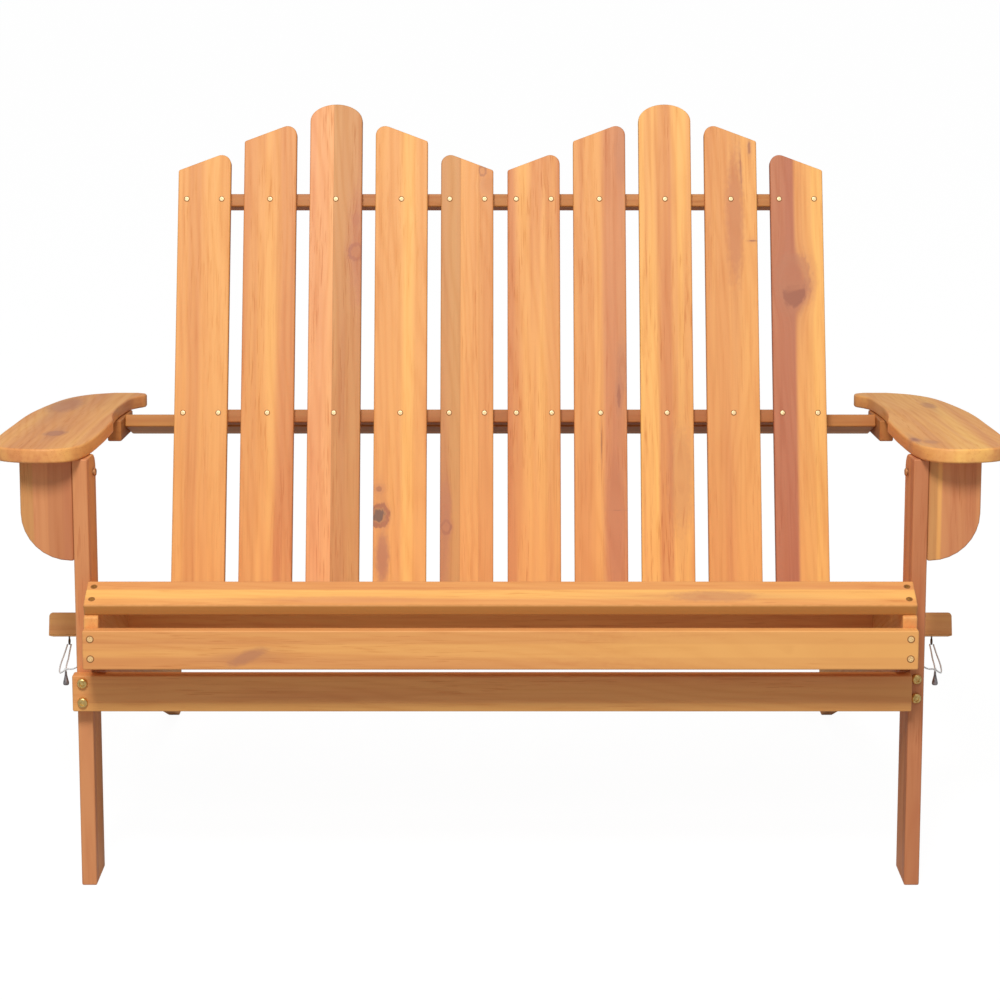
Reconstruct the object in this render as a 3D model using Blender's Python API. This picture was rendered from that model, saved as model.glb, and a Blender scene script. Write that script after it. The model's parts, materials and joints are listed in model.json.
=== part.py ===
"""Folding adirondack loveseat in oiled wood, with brass bolts and tethered locking pegs.

Two sloping side rails carry the seat slats and stand on the floor at the back. Two front
legs hinge on them, the arms hinge on the leg tops, and the fan-topped back hinges on the
rails behind the seat, so that the whole seat folds towards its own front.

Metres, +Z up, +X to the sitter's left as seen from the front, -Y towards the viewer. Depths
below are counted from the front face of the legs, heights from the floor. The last step
moves everything so that the origin lies on the floor under the middle of the seat.
"""

import math

import bmesh
import bpy
from mathutils import Vector
from mathutils.geometry import interpolate_bezier

# Clearances and edge rounding
gap = 0.0003            # between pieces that touch
bore_clearance = 0.0004  # around a bolt
overrun = 0.005         # how far a cutter runs past the wood
edge_round = 0.002      # small round on every board
arm_edge_round = 0.0035  # softer round on the arm rests
edge_steps = 2
arc_steps = 8
run_steps = 3
handle_divisor = 6        # of the chord past a point, for a smooth curve's handles

# Legs
leg_thickness = 0.019
leg_depth = 0.070
leg_outer_x = 0.5246
leg_top_round = 0.0225
leg_pivot_y = 0.035
leg_pivot_rise = 0.02047   # above the side rail's lower edge

# Side rails
rail_thickness = 0.018
rail_front_y = -0.061
rail_front_low_h = 0.3005
rail_foot_front_y = 0.741
rail_rear_y = 0.774
rail_rear_h = 0.082
rail_rear_round = 0.030
rail_ear_half = 0.021
rail_ear_rise = 0.0155
rail_ear_round = 0.014
rail_waist_y = 0.402
rail_waist_h = 0.250
rail_waist_round = 0.060

# Seat
slat_width = 0.048
slat_thickness = 0.015
slat_gap = 0.008
slat_side_clearance = 0.0006
seat_slat_count = 5
seat_start_y = 0.004
seat_start_rise = 0.0720   # above the rail's lower front corner
seat_first_angle = math.radians(20.5)
seat_angle_step = math.radians(-1.0)
nose_angle = math.radians(25.0)
nose_peak_y = -0.0130
nose_peak_rise = 0.0831
nose_setback = 0.0012
front_slat_width = 0.0485
front_slat_thickness = 0.0167

# Cross bar under the seat, whose ends stop the folded legs
bar_front_y = 0.198
bar_depth = 0.030
bar_height = 0.0305
bar_half_length = 0.591
bar_corner = 0.005

# Apron between the legs; it sits a little to the sitter's right
apron_height = 0.0460
apron_low_h = 0.2307
apron_thickness = 0.0185
apron_length = 1.035
apron_offset = -0.0103

# Arms
arm_thickness = 0.0175
arm_top_front_h = 0.562
arm_slope = math.radians(3.3)
arm_front_y = -0.038
arm_length = 0.594
arm_outer_x = 0.631
arm_width = 0.130
# Outline of an arm from above: shares of its width inwards and of its length backwards
arm_waist_shares = (0.9462, 0.4798)
arm_outside_shares = [(0.9615, 0.2946), (0.9385, 0.1027), (0.8231, 0.0219), (0.5462, 0.0),
                      (0.2385, 0.0202), (0.0846, 0.0707), (0.0154, 0.1818), (0.0, 0.4007),
                      (0.0154, 0.6195), (0.1538, 0.8552), (0.3538, 0.9562), (0.6231, 1.0)]
arm_tail_shares = [(0.8923, 1.0), (0.9846, 0.9832)]
arm_inside_shares = [(1.0, 0.9512), (0.9385, 0.9242), (0.8769, 0.8855), (0.8538, 0.8047),
                     (0.8423, 0.7121), (0.8692, 0.5943)]
cleat_thickness = 0.019
front_cleat_rear_y = 0.115
rear_cleat_ahead = 0.0723  # from its pivot to its front end
rear_cleat_length = 0.118
rear_cleat_height = 0.029
rear_cleat_inner_x = 0.516

# Quarter-round brackets outside the legs
bracket_front_y = 0.002
bracket_thickness = 0.019
bracket_width = 0.0643
bracket_height = 0.1265
bracket_round = 0.060

# Back
recline = math.radians(18.1)
back_pivot_y = 0.3255
back_pivot_rise = 0.13232  # above the side rail's lower edge
back_fan = (("short", 1), ("middle", 1), ("tall", 1), ("middle", -1), ("short", -1))
back_fan_count = 2
back_slat_width = 0.072
back_slat_pitch = 0.0904
back_middle_extra = 0.001
back_slat_below = 0.024
back_tip_tall = 0.6795
back_tip_middle = 0.649
back_tip_short = 0.608
back_tip_slant = math.radians(21.0)
tall_tip_round = 0.0235
slant_tip_round = 0.013
batten_height = 0.018
batten_depth = 0.028
batten_overlap = 0.020
upper_batten_top = 0.5562
support_drop = 0.003
support_height = 0.017
support_depth = 0.078

# Bolts
bolt_radius = 0.0035
bolt_head_radius = 0.0058
bolt_head_height = 0.0038
nut_radius = 0.0060
nut_height = 0.0035
bolt_segments = 16
small_bolt_radius = 0.0028
small_bolt_head_radius = 0.0066
small_bolt_head_height = 0.0042
small_bolt_length = 0.034
apron_bolt_x = 0.515
apron_bolt_high = 0.0365
apron_bolt_low = 0.0120

# Tethers: an eye under each bar end, cords and a locking peg
eye_x = 0.567
eye_wire = 0.0011
eye_radius = 0.0034
eye_shank = 0.012
eye_drop = 0.0042
eye_turns_share = 0.86
eye_steps = 14
cord_radius = 0.0010
knot_radius = 0.0021
knot_steps = 10
peg_length = 0.0185
peg_radius = 0.0039
peg_neck_radius = 0.0014
peg_x = 0.5625
peg_y = 0.150
peg_top_h = 0.2350

# Tints of the boards, from light to dark, and of the metal and cord
tints = {
    "honey": (0.80, 0.47, 0.20),
    "amber": (0.72, 0.38, 0.15),
    "russet": (0.56, 0.27, 0.12),
    "brass": (0.78, 0.60, 0.27),
    "steel": (0.42, 0.41, 0.40),
    "cord": (0.86, 0.85, 0.83),
}

# Places worked out from the sizes above
leg_inner_x = leg_outer_x - leg_thickness
side_rail_outer_x = leg_inner_x - gap
side_rail_inner_x = side_rail_outer_x - rail_thickness
seat_half_length = leg_inner_x - slat_side_clearance
front_y = rail_front_y - gap - front_slat_thickness
middle_y = (front_y + rail_rear_y) / 2
seat_start_h = rail_front_low_h + seat_start_rise
nose_peak_h = rail_front_low_h + nose_peak_rise
arm_under_front_h = arm_top_front_h - arm_thickness / math.cos(arm_slope)
back_slat_count = len(back_fan) * back_fan_count
seat_pitch = slat_width + slat_gap
apron_left_x = apron_offset - apron_length / 2
apron_right_x = apron_offset + apron_length / 2
support_half_length = rear_cleat_inner_x - gap


def arm_under_h(y):
    """Height of the arms' underside at depth y."""
    return arm_under_front_h - y * math.tan(arm_slope)


def tangent_pivot():
    """Centre of the round on the leg's top rear corner, where the arm hinges."""
    y = leg_depth - leg_top_round
    h = arm_under_h(y) - (leg_top_round + gap) / math.cos(arm_slope)
    return y, h


def seat_facets():
    """Start, direction angle of each seat slat's bed on the side rails, and the last end."""
    beds = []
    y, h, angle = seat_start_y, seat_start_h, seat_first_angle
    for _ in range(seat_slat_count):
        beds.append((y, h, angle))
        y += seat_pitch * math.cos(angle)
        h -= seat_pitch * math.sin(angle)
        angle += seat_angle_step
    return beds, (y, h)


def bed_h(y):
    """Height of the seat slats' beds at depth y."""
    beds, _ = seat_facets()
    start_y, start_h, angle = [bed for bed in beds if bed[0] <= y][-1]
    return start_h - (y - start_y) * math.tan(angle)


def rail_low_h(y):
    """Height of the side rail's straight lower edge at depth y."""
    slope = rail_front_low_h / (rail_foot_front_y - rail_front_y)
    return (rail_foot_front_y - y) * slope


def back_point(along, behind):
    """Depth and height of a point of the back: along the slats and behind its hinge."""
    y = back_pivot_y + along * math.sin(recline) + behind * math.cos(recline)
    h = back_pivot_h + along * math.cos(recline) - behind * math.sin(recline)
    return y, h


def latch_along_back(behind):
    """How far up the back the arm's rear cleat is at middle height, behind the hinge."""
    cleat_middle = gap / math.cos(arm_slope) + rear_cleat_height / 2
    y, h = back_point(0.0, behind)
    climb = math.cos(recline) + math.sin(recline) * math.tan(arm_slope)
    return (arm_under_h(y) - cleat_middle - h) / climb


leg_pivot_h = rail_low_h(leg_pivot_y) + leg_pivot_rise
back_pivot_h = rail_low_h(back_pivot_y) + back_pivot_rise
arm_pivot_y, arm_pivot_h = tangent_pivot()
batten_front = -batten_depth / 2
slat_behind = batten_front - gap - slat_thickness
support_front = -batten_front + gap
latch_along = latch_along_back(support_front + support_depth / 2)
latch_y, latch_h = back_point(latch_along, support_front + support_depth / 2)
support_top = latch_along + support_height / 2
lower_batten_top = support_top + support_drop
rear_cleat_front_y = latch_y - rear_cleat_ahead
bar_rear_y = bar_front_y + bar_depth
bar_top_h = bed_h(bar_rear_y) - gap
bar_low_h = bar_top_h - bar_height
eye_y = bar_front_y + bar_depth / 2

# Blender's side: removing the old scene, empties on the hinges, materials
for old in list(bpy.data.objects):
    bpy.data.objects.remove(old)
scene = bpy.context.scene


def empty(name, place, parent=None):
    """An empty at a place given in the bench's own coordinates."""
    item = bpy.data.objects.new(name, None)
    scene.collection.objects.link(item)
    item["place"] = place
    item.empty_display_size = leg_depth
    if parent:
        item.parent = parent
        item.location = Vector(place) - Vector(parent["place"])
    return item


bench = empty("bench", (0.0, 0.0, 0.0))
bench.location = (0.0, -middle_y, 0.0)
legs_hinge = empty("legs_hinge", (0.0, leg_pivot_y, leg_pivot_h), bench)
arms_hinge = empty("arms_hinge", (0.0, arm_pivot_y, arm_pivot_h), legs_hinge)
back_hinge = empty("back_hinge", (0.0, back_pivot_y, back_pivot_h), bench)


def material(name, tint):
    """A plain finish of its own for one piece."""
    item = bpy.data.materials.new(name)
    item.use_nodes = True
    shader = item.node_tree.nodes["Principled BSDF"]
    shader.inputs["Base Color"].default_value = (*tints[tint], 1.0)
    shader.inputs["Metallic"].default_value = 1.0 if tint in ("brass", "steel") else 0.0
    shader.inputs["Roughness"].default_value = {"brass": 0.3, "steel": 0.35, "cord": 0.8}.get(tint, 0.48)
    return item


def add(name, mesh, tint, hinge):
    """An object with this mesh, whose origin lies on its hinge."""
    item = bpy.data.objects.new(name, mesh)
    scene.collection.objects.link(item)
    item.parent = hinge
    if tint:
        mesh.materials.append(material(name, tint))
    else:
        item.hide_render = True
        item.display_type = "WIRE"
    return item


def cut(item, cutter):
    """Take the cutter's shape out of the item."""
    step = item.modifiers.new("cut", "BOOLEAN")
    step.operation = "DIFFERENCE"
    step.solver = "EXACT"
    step.object = cutter


def board(name, outline, thickness, origin, across, up, tint, hinge, rounding=edge_round):
    """A board: an outline in the plane of across and up, made thick along their normal."""
    across, up = Vector(across).normalized(), Vector(up).normalized()
    normal = across.cross(up)
    base = Vector(origin) - Vector(hinge["place"])
    shape = bmesh.new()
    ring = [shape.verts.new(base + across * a + up * b) for a, b in outline]
    face = shape.faces.new(ring)
    lifted = bmesh.ops.extrude_face_region(shape, geom=[face])["geom"]
    moved = [v for v in lifted if isinstance(v, bmesh.types.BMVert)]
    bmesh.ops.translate(shape, verts=moved, vec=normal * thickness)
    bmesh.ops.recalc_face_normals(shape, faces=shape.faces)
    mesh = bpy.data.meshes.new(name)
    shape.to_mesh(mesh)
    shape.free()
    item = add(name, mesh, tint, hinge)
    if rounding:
        edge = item.modifiers.new("edge", "BEVEL")
        edge.width = rounding
        edge.segments = edge_steps
        edge.limit_method = "ANGLE"
        edge.angle_limit = math.radians(40.0)
        mesh.shade_smooth()
        mesh.set_sharp_from_angle(angle=math.radians(50.0))
    return item


def rounded(corners, radii):
    """An outline whose corners are arcs; a radius of zero keeps the corner."""
    outline = []
    count = len(corners)
    for index, (corner, radius) in enumerate(zip(corners, radii)):
        here = Vector(corner)
        if not radius:
            outline.append(tuple(here))
            continue
        back = (Vector(corners[index - 1]) - here).normalized()
        ahead = (Vector(corners[(index + 1) % count]) - here).normalized()
        half = back.angle(ahead) / 2
        centre = here + (back + ahead).normalized() * (radius / math.sin(half))
        first = here + back * (radius / math.tan(half)) - centre
        last = here + ahead * (radius / math.tan(half)) - centre
        turn = first.angle_signed(last)
        for step in range(arc_steps + 1):
            part = -turn * step / arc_steps
            outline.append((centre.x + first.x * math.cos(part) - first.y * math.sin(part),
                            centre.y + first.x * math.sin(part) + first.y * math.cos(part)))
    return outline


def rectangle(left, right, low, high):
    """The four corners of an upright rectangle."""
    return [(left, low), (right, low), (right, high), (left, high)]


def smooth_run(points, steps):
    """Points of a smooth curve through the given ones, without the last."""
    run = []
    padded = [Vector(p).to_3d() for p in [points[0], *points, points[-1]]]
    for before, start, end, after in zip(padded, padded[1:], padded[2:], padded[3:]):
        leaving = start + (end - before) / handle_divisor
        arriving = end - (after - start) / handle_divisor
        run += interpolate_bezier(start, leaving, arriving, end, steps + 1)[:-1]
    return run


def side_board(name, outline, inner_x, thickness, side, tint, hinge, rounding=edge_round):
    """A board that stands in the depth and height plane, on one side of the bench."""
    start = inner_x if side > 0 else -inner_x - thickness
    return board(name, outline, thickness, (start, 0.0, 0.0), (0, 1, 0), (0, 0, 1),
                 tint, hinge, rounding)


def turned(name, profile, start, direction, tint, hinge, segments=bolt_segments):
    """A turned solid: (radius, distance) pairs along an axis from the start point."""
    axis = Vector(direction).normalized()
    aside = axis.orthogonal().normalized()
    third = axis.cross(aside)
    base = Vector(start) - Vector(hinge["place"])
    shape = bmesh.new()
    rings = []
    for radius, distance in profile:
        centre = base + axis * distance
        if radius == 0:
            rings.append([shape.verts.new(centre)])
            continue
        turn = [2 * math.pi * i / segments for i in range(segments)]
        rings.append([shape.verts.new(centre + (aside * math.cos(a) + third * math.sin(a)) * radius)
                      for a in turn])
    for low, high in zip(rings, rings[1:]):
        for i in range(segments):
            j = (i + 1) % segments
            corners = [low[i % len(low)], low[j % len(low)], high[j % len(high)], high[i % len(high)]]
            shape.faces.new(list(dict.fromkeys(corners)))
    bmesh.ops.recalc_face_normals(shape, faces=shape.faces)
    mesh = bpy.data.meshes.new(name)
    shape.to_mesh(mesh)
    shape.free()
    mesh.shade_smooth()
    mesh.set_sharp_from_angle(angle=math.radians(40.0))
    return add(name, mesh, tint, hinge)


def bolt_profile(head_radius, head_height, shank_radius, length, nut=False):
    """A domed bolt head, its shank and, if asked, the nut at its end."""
    dome_shares = ((0.45, 0.08), (0.80, 0.35), (0.97, 0.70), (1.0, 1.0))
    profile = [(0.0, 0.0)] + [(head_radius * r, head_height * d) for r, d in dome_shares]
    profile += [(shank_radius, head_height), (shank_radius, head_height + length)]
    end = head_height + length
    if nut:
        profile += [(nut_radius, end), (nut_radius, end + nut_height)]
        end += nut_height
    return profile + [(0.0, end)]


def bore(name, centre, radius, length, hinge, direction=(1, 0, 0)):
    """A round cutter centred on a point."""
    start = Vector(centre) - Vector(direction) * length / 2
    profile = [(0.0, 0.0), (radius, 0.0), (radius, length), (0.0, length)]
    return turned(name, profile, start, direction, None, hinge)


def tube(name, points, radius, tint, hinge):
    """A cord or wire: a smooth tube through points, with closed ends."""
    curve = bpy.data.curves.new(name, "CURVE")
    curve.dimensions = "3D"
    curve.bevel_depth = radius
    curve.bevel_resolution = 2
    curve.use_fill_caps = True
    line = curve.splines.new("POLY")
    line.points.add(len(points) - 1)
    for point, place in zip(line.points, points):
        point.co = (*(Vector(place) - Vector(hinge["place"])), 1.0)
    return add(name, curve, tint, hinge)


# Side rails with beds for the slats and a notch for the cross bar
def rail_outline():
    beds, last = seat_facets()
    nose_front_h = nose_peak_h - (nose_peak_y - rail_front_y) * math.tan(nose_angle)
    ear_h = back_pivot_h + rail_ear_rise
    corners = [(rail_front_y, rail_front_low_h), (rail_foot_front_y, 0.0), (rail_rear_y, 0.0),
               (rail_rear_y, rail_rear_h), (rail_waist_y, rail_waist_h),
               (back_pivot_y + rail_ear_half, ear_h), (back_pivot_y - rail_ear_half, ear_h), last]
    radii = [0.0, 0.0, 0.0, rail_rear_round, rail_waist_round, rail_ear_round, rail_ear_round, 0.0]
    corners += [(y, h) for y, h, _ in reversed(beds)]
    corners += [(nose_peak_y, nose_peak_h), (rail_front_y, nose_front_h)]
    return rounded(corners, radii + [0.0] * (len(corners) - len(radii)))


def build_rail(side, word):
    item = side_board("side_rail_" + word, rail_outline(), side_rail_inner_x, rail_thickness,
                      side, "amber", bench)
    middle_x = side * (side_rail_inner_x + rail_thickness / 2)
    start_x = middle_x - rail_thickness / 2 - overrun
    notch = board("notch_" + word,
                  rectangle(bar_front_y - gap, bar_rear_y + gap, bar_low_h - gap,
                            bar_top_h + slat_thickness + overrun),
                  rail_thickness + 2 * overrun, (start_x, 0.0, 0.0), (0, 1, 0), (0, 0, 1),
                  None, bench, 0.0)
    cut(item, notch)
    for label, y, h in (("leg", leg_pivot_y, leg_pivot_h), ("back", back_pivot_y, back_pivot_h)):
        hole = bore("rail_{}_bore_{}".format(label, word), (middle_x, y, h),
                    bolt_radius + bore_clearance, rail_thickness + 2 * overrun, bench)
        cut(item, hole)


# Seat slats across the rails
def build_seat():
    length = 2 * seat_half_length
    board("front_slat", rectangle(-seat_half_length, seat_half_length, rail_front_low_h,
                                  rail_front_low_h + front_slat_width),
          front_slat_thickness, (0.0, rail_front_y - gap, 0.0), (1, 0, 0), (0, 0, 1),
          "honey", bench)
    up = (0.0, math.cos(nose_angle), math.sin(nose_angle))
    lift = Vector((0.0, -math.sin(nose_angle), math.cos(nose_angle))) * gap
    rear = Vector((0.0, nose_peak_y, nose_peak_h)) + lift
    board("nose_slat", rectangle(-seat_half_length, seat_half_length,
                                 -slat_width - nose_setback, -nose_setback),
          slat_thickness, rear, (1, 0, 0), up, "honey", bench)
    beds, _ = seat_facets()
    for number, (y, h, angle) in enumerate(beds, start=1):
        along = (0.0, math.cos(angle), -math.sin(angle))
        lift = Vector((0.0, math.sin(angle), math.cos(angle))) * gap
        tint = ("amber", "honey")[number % 2]
        board("seat_slat_{}".format(number),
              rectangle(0.0, length, slat_gap / 2, slat_gap / 2 + slat_width), slat_thickness,
              Vector((-seat_half_length, y, h)) + lift, (1, 0, 0), along, tint, bench)


# Cross bar with softened end corners
def build_cross_bar():
    outline = rounded(rectangle(-bar_half_length, bar_half_length, bar_low_h, bar_top_h),
                      [0.0, 0.0, bar_corner, bar_corner])
    item = board("cross_bar", outline, bar_depth, (0.0, bar_rear_y, 0.0), (1, 0, 0), (0, 0, 1),
                 "amber", bench)
    for side, word in ((-1, "left"), (1, "right")):
        hole = bore("eye_bore_" + word, (side * eye_x, eye_y, bar_low_h), eye_wire + bore_clearance,
                    2 * (eye_shank + overrun), bench, (0, 0, 1))
        cut(item, hole)


# Legs, brackets and apron
def leg_outline():
    top_front = arm_under_h(0.0) - gap / math.cos(arm_slope)
    top_rear = arm_under_h(leg_depth) - gap / math.cos(arm_slope)
    corners = [(0.0, 0.0), (leg_depth, 0.0), (leg_depth, top_rear), (0.0, top_front)]
    return rounded(corners, [0.0, 0.0, leg_top_round, 0.0])


def build_leg(side, word):
    item = side_board("leg_" + word, leg_outline(), leg_inner_x, leg_thickness, side, "russet",
                      legs_hinge)
    middle_x = side * (leg_inner_x + leg_thickness / 2)
    for label, y, h in (("low", leg_pivot_y, leg_pivot_h), ("high", arm_pivot_y, arm_pivot_h)):
        hole = bore("leg_{}_bore_{}".format(label, word), (middle_x, y, h),
                    bolt_radius + bore_clearance, leg_thickness + 2 * overrun, legs_hinge)
        cut(item, hole)
    for number, height in enumerate((apron_bolt_low, apron_bolt_high)):
        hole = bore("leg_apron_bore_{}_{}".format(word, number),
                    (side * apron_bolt_x, 0.0, apron_low_h + height),
                    small_bolt_radius + bore_clearance, 2 * (small_bolt_length + gap),
                    legs_hinge, (0, 1, 0))
        cut(item, hole)


def build_bracket(side, word):
    inner = leg_outer_x + gap
    outer = inner + bracket_width
    top = arm_under_h(bracket_front_y + bracket_thickness) - gap
    low = top - bracket_height
    largest = min(bracket_width, bracket_height) - 2 * edge_round
    outline = rounded(rectangle(inner, outer, low, top),
                      [0.0, min(bracket_round, largest), 0.0, 0.0])
    if side < 0:
        outline = [(-x, h) for x, h in reversed(outline)]
    board("bracket_" + word, outline, bracket_thickness,
          (0.0, bracket_front_y + bracket_thickness, 0.0), (1, 0, 0), (0, 0, 1),
          "honey", legs_hinge)


def build_apron():
    item = board("apron", rectangle(apron_left_x, apron_right_x, apron_low_h,
                                    apron_low_h + apron_height),
                 apron_thickness, (0.0, -gap, 0.0), (1, 0, 0), (0, 0, 1), "russet", legs_hinge)
    for side, word in ((-1, "left"), (1, "right")):
        covered = apron_left_x < side * apron_bolt_x < apron_right_x
        seat_y = -gap - apron_thickness if covered else 0.0
        start_y = seat_y - gap - small_bolt_head_height
        reach = small_bolt_length if not covered else small_bolt_length + apron_thickness
        for number, height in enumerate((apron_bolt_low, apron_bolt_high)):
            place = (side * apron_bolt_x, start_y, apron_low_h + height)
            turned("apron_bolt_{}_{}".format(word, ("low", "high")[number]),
                   bolt_profile(small_bolt_head_radius, small_bolt_head_height,
                                small_bolt_radius, reach),
                   place, (0, 1, 0), "brass", legs_hinge)
            if covered:
                cut(item, bore("apron_bore_{}_{}".format(word, number), place,
                               small_bolt_radius + bore_clearance, leg_depth, legs_hinge,
                               (0, 1, 0)))


# Arms with the cleats that carry their hinges
def arm_outline():
    """Shape from above, sitter's left side: waisted inside, full outside, narrow tail."""
    def place(inwards, backwards):
        return arm_outer_x - arm_width * inwards, arm_front_y + arm_length * backwards
    waist = place(*arm_waist_shares)
    outside = [waist] + [place(*shares) for shares in arm_outside_shares]
    tail = [place(*shares) for shares in arm_tail_shares]
    inside = [place(*shares) for shares in arm_inside_shares] + [waist]
    return smooth_run(outside, run_steps) + outside[-1:] + tail + smooth_run(inside, run_steps)


def build_arm(side, word):
    along = (0.0, math.cos(arm_slope), -math.sin(arm_slope))
    outline = [(side * x, y) for x, y, *_ in arm_outline()]
    board("arm_" + word, outline, arm_thickness, (0.0, 0.0, arm_under_front_h),
          (1, 0, 0), along, "honey", arms_hinge, arm_edge_round)


def build_front_cleat(side, word):
    radius = leg_top_round - gap
    top_gap = gap / math.cos(arm_slope)
    along = Vector((math.cos(arm_slope), -math.sin(arm_slope)))
    centre = Vector((arm_pivot_y, arm_pivot_h))
    upright = Vector((math.sin(arm_slope), math.cos(arm_slope)))
    nose = []
    for step in range(2 * arc_steps + 1):
        turn = math.pi * step / (2 * arc_steps)
        nose.append(centre + upright * radius * math.cos(turn) - along * radius * math.sin(turn))
    reach = (front_cleat_rear_y - arm_pivot_y) / along.x
    rear_low = centre + along * reach - upright * radius
    rear_high = centre + along * reach + upright * radius
    item = side_board("front_cleat_" + word, [tuple(p) for p in nose + [rear_low, rear_high]],
                      leg_outer_x + top_gap, cleat_thickness, side, "amber", arms_hinge)
    middle_x = side * (leg_outer_x + gap + cleat_thickness / 2)
    cut(item, bore("front_cleat_bore_" + word, (middle_x, arm_pivot_y, arm_pivot_h),
                   bolt_radius + bore_clearance, cleat_thickness + 2 * overrun, arms_hinge))


def build_rear_cleat(side, word):
    rear_y = rear_cleat_front_y + rear_cleat_length
    lift = gap / math.cos(arm_slope)
    outline = [(rear_cleat_front_y, arm_under_h(rear_cleat_front_y) - lift - rear_cleat_height),
               (rear_y, arm_under_h(rear_y) - lift - rear_cleat_height),
               (rear_y, arm_under_h(rear_y) - lift),
               (rear_cleat_front_y, arm_under_h(rear_cleat_front_y) - lift)]
    item = side_board("rear_cleat_" + word, outline, rear_cleat_inner_x, cleat_thickness, side,
                      "amber", arms_hinge)
    middle_x = side * (rear_cleat_inner_x + cleat_thickness / 2)
    cut(item, bore("rear_cleat_bore_" + word, (middle_x, latch_y, latch_h),
                   bolt_radius + bore_clearance, cleat_thickness + 2 * overrun, arms_hinge))
    outer = rear_cleat_inner_x + cleat_thickness + gap + bolt_head_height
    turned("rear_bolt_" + word,
           bolt_profile(bolt_head_radius, bolt_head_height, bolt_radius, cleat_thickness),
           (side * outer, latch_y, latch_h), (-side, 0, 0), "brass", arms_hinge)


# Back: ten slats, two battens, the board that carries the arms, and the hinge bar
def slat_tip(kind, rising):
    """Corners and radii of a slat's top; rising is 1 where it climbs towards +X."""
    half = back_slat_width / 2
    if kind == "tall":
        return [(half, back_tip_tall), (-half, back_tip_tall)], [tall_tip_round, tall_tip_round]
    tip = back_tip_middle if kind == "middle" else back_tip_short
    crown = slant_tip_round * (1 / math.cos(back_tip_slant) - 1 + math.tan(back_tip_slant))
    high = (rising * half, tip + crown)
    low = (-rising * half, tip + crown - back_slat_width * math.tan(back_tip_slant))
    if rising > 0:
        return [high, low], [slant_tip_round, 0.0]
    return [low, high], [0.0, slant_tip_round]


def build_back_slats():
    y, h = back_point(0.0, slat_behind + slat_thickness)
    up = (0.0, math.sin(recline), math.cos(recline))
    tones = ("honey", "amber", "honey", "honey", "amber")
    for number in range(back_slat_count):
        kind, rising = back_fan[number % len(back_fan)]
        place = number - (back_slat_count - 1) / 2
        x = place * back_slat_pitch + math.copysign(back_middle_extra / 2, place)
        half = back_slat_width / 2
        tip, tip_radii = slat_tip(kind, rising)
        outline = rounded([(-half, -back_slat_below), (half, -back_slat_below)] + tip,
                          [0.0, 0.0] + tip_radii)
        board("back_slat_{:02d}".format(number + 1), outline, slat_thickness, (x, y, h),
              (1, 0, 0), up, tones[number % len(tones)], back_hinge)


def back_bar(name, half_length, low, front, height, depth, tint):
    """A bar of the back, at right angles to the slats and behind them."""
    y, h = back_point(low, front)
    into = (0.0, math.cos(recline), -math.sin(recline))
    return board(name, rectangle(-half_length, half_length, 0.0, depth), height, (0.0, y, h),
                 (1, 0, 0), into, tint, back_hinge)


def build_back_bars():
    half = (back_slat_count - 1) / 2 * back_slat_pitch + batten_overlap
    back_bar("upper_batten", half, upper_batten_top - batten_height, batten_front,
             batten_height, batten_depth, "russet")
    back_bar("lower_batten", half, lower_batten_top - batten_height, batten_front,
             batten_height, batten_depth, "russet")
    back_bar("arm_support", support_half_length, support_top - support_height, support_front,
             support_height, support_depth, "russet")
    item = back_bar("hinge_bar", side_rail_inner_x - gap, -batten_height / 2, batten_front,
                    batten_height, batten_depth, "amber")
    for side, word in ((-1, "left"), (1, "right")):
        cut(item, bore("hinge_bar_bore_" + word,
                       (side * side_rail_inner_x, back_pivot_y, back_pivot_h),
                       bolt_radius + bore_clearance, 2 * (leg_depth + overrun), back_hinge))


# Hinge bolts
def build_hinge_bolts(side, word):
    head_x = leg_outer_x + gap + bolt_head_height
    through = leg_thickness + rail_thickness + 3 * gap
    turned("leg_bolt_" + word,
           bolt_profile(bolt_head_radius, bolt_head_height, bolt_radius, through, True),
           (side * head_x, leg_pivot_y, leg_pivot_h), (-side, 0, 0), "brass", bench)
    head_x = side_rail_outer_x + gap + bolt_head_height
    turned("back_bolt_" + word,
           bolt_profile(bolt_head_radius, bolt_head_height, bolt_radius,
                        rail_thickness + leg_depth / 2),
           (side * head_x, back_pivot_y, back_pivot_h), (-side, 0, 0), "brass", bench)
    head_x = leg_inner_x - gap - bolt_head_height
    through = leg_thickness + cleat_thickness + 3 * gap
    turned("arm_bolt_" + word,
           bolt_profile(bolt_head_radius, bolt_head_height, bolt_radius, through, True),
           (side * head_x, arm_pivot_y, arm_pivot_h), (side, 0, 0), "brass", legs_hinge)


# Screw eye: one bent wire, its shank in the bar and its ring below
def build_eye(side, word):
    centre_h = bar_low_h - eye_drop - eye_radius
    points = [(side * eye_x, eye_y, bar_low_h + eye_shank),
              (side * eye_x, eye_y, bar_low_h + eye_shank / 2),
              (side * eye_x, eye_y, bar_low_h)]
    for step in range(eye_steps + 1):
        turn = 2 * math.pi * eye_turns_share * step / eye_steps
        points.append((side * eye_x, eye_y - eye_radius * math.sin(turn),
                       centre_h + eye_radius * math.cos(turn)))
    tube("eye_" + word, points, eye_wire, "steel", bench)


# Tethers: the sitter's left side; the other side mirrors it
def tether_routes():
    """The hand-chosen points of the three cords, between the ends that fit() sets."""
    outer = [(0.5725, 0.2030, 0.2430), (0.5752, 0.1900, 0.2340), (0.5748, 0.1750, 0.2292),
             (0.5720, 0.1620, 0.2296), (0.5682, 0.1545, 0.2325)]
    inner = [(0.5652, 0.2000, 0.2462), (0.5646, 0.1860, 0.2418), (0.5640, 0.1700, 0.2398)]
    free = [(0.5280, 0.0362, 0.2745), (0.5345, 0.0588, 0.2655), (0.5415, 0.0820, 0.2575),
            (0.5485, 0.1045, 0.2505), (0.5553, 0.1270, 0.2444)]
    return {"outer": outer, "inner": inner, "free": free}


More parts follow.
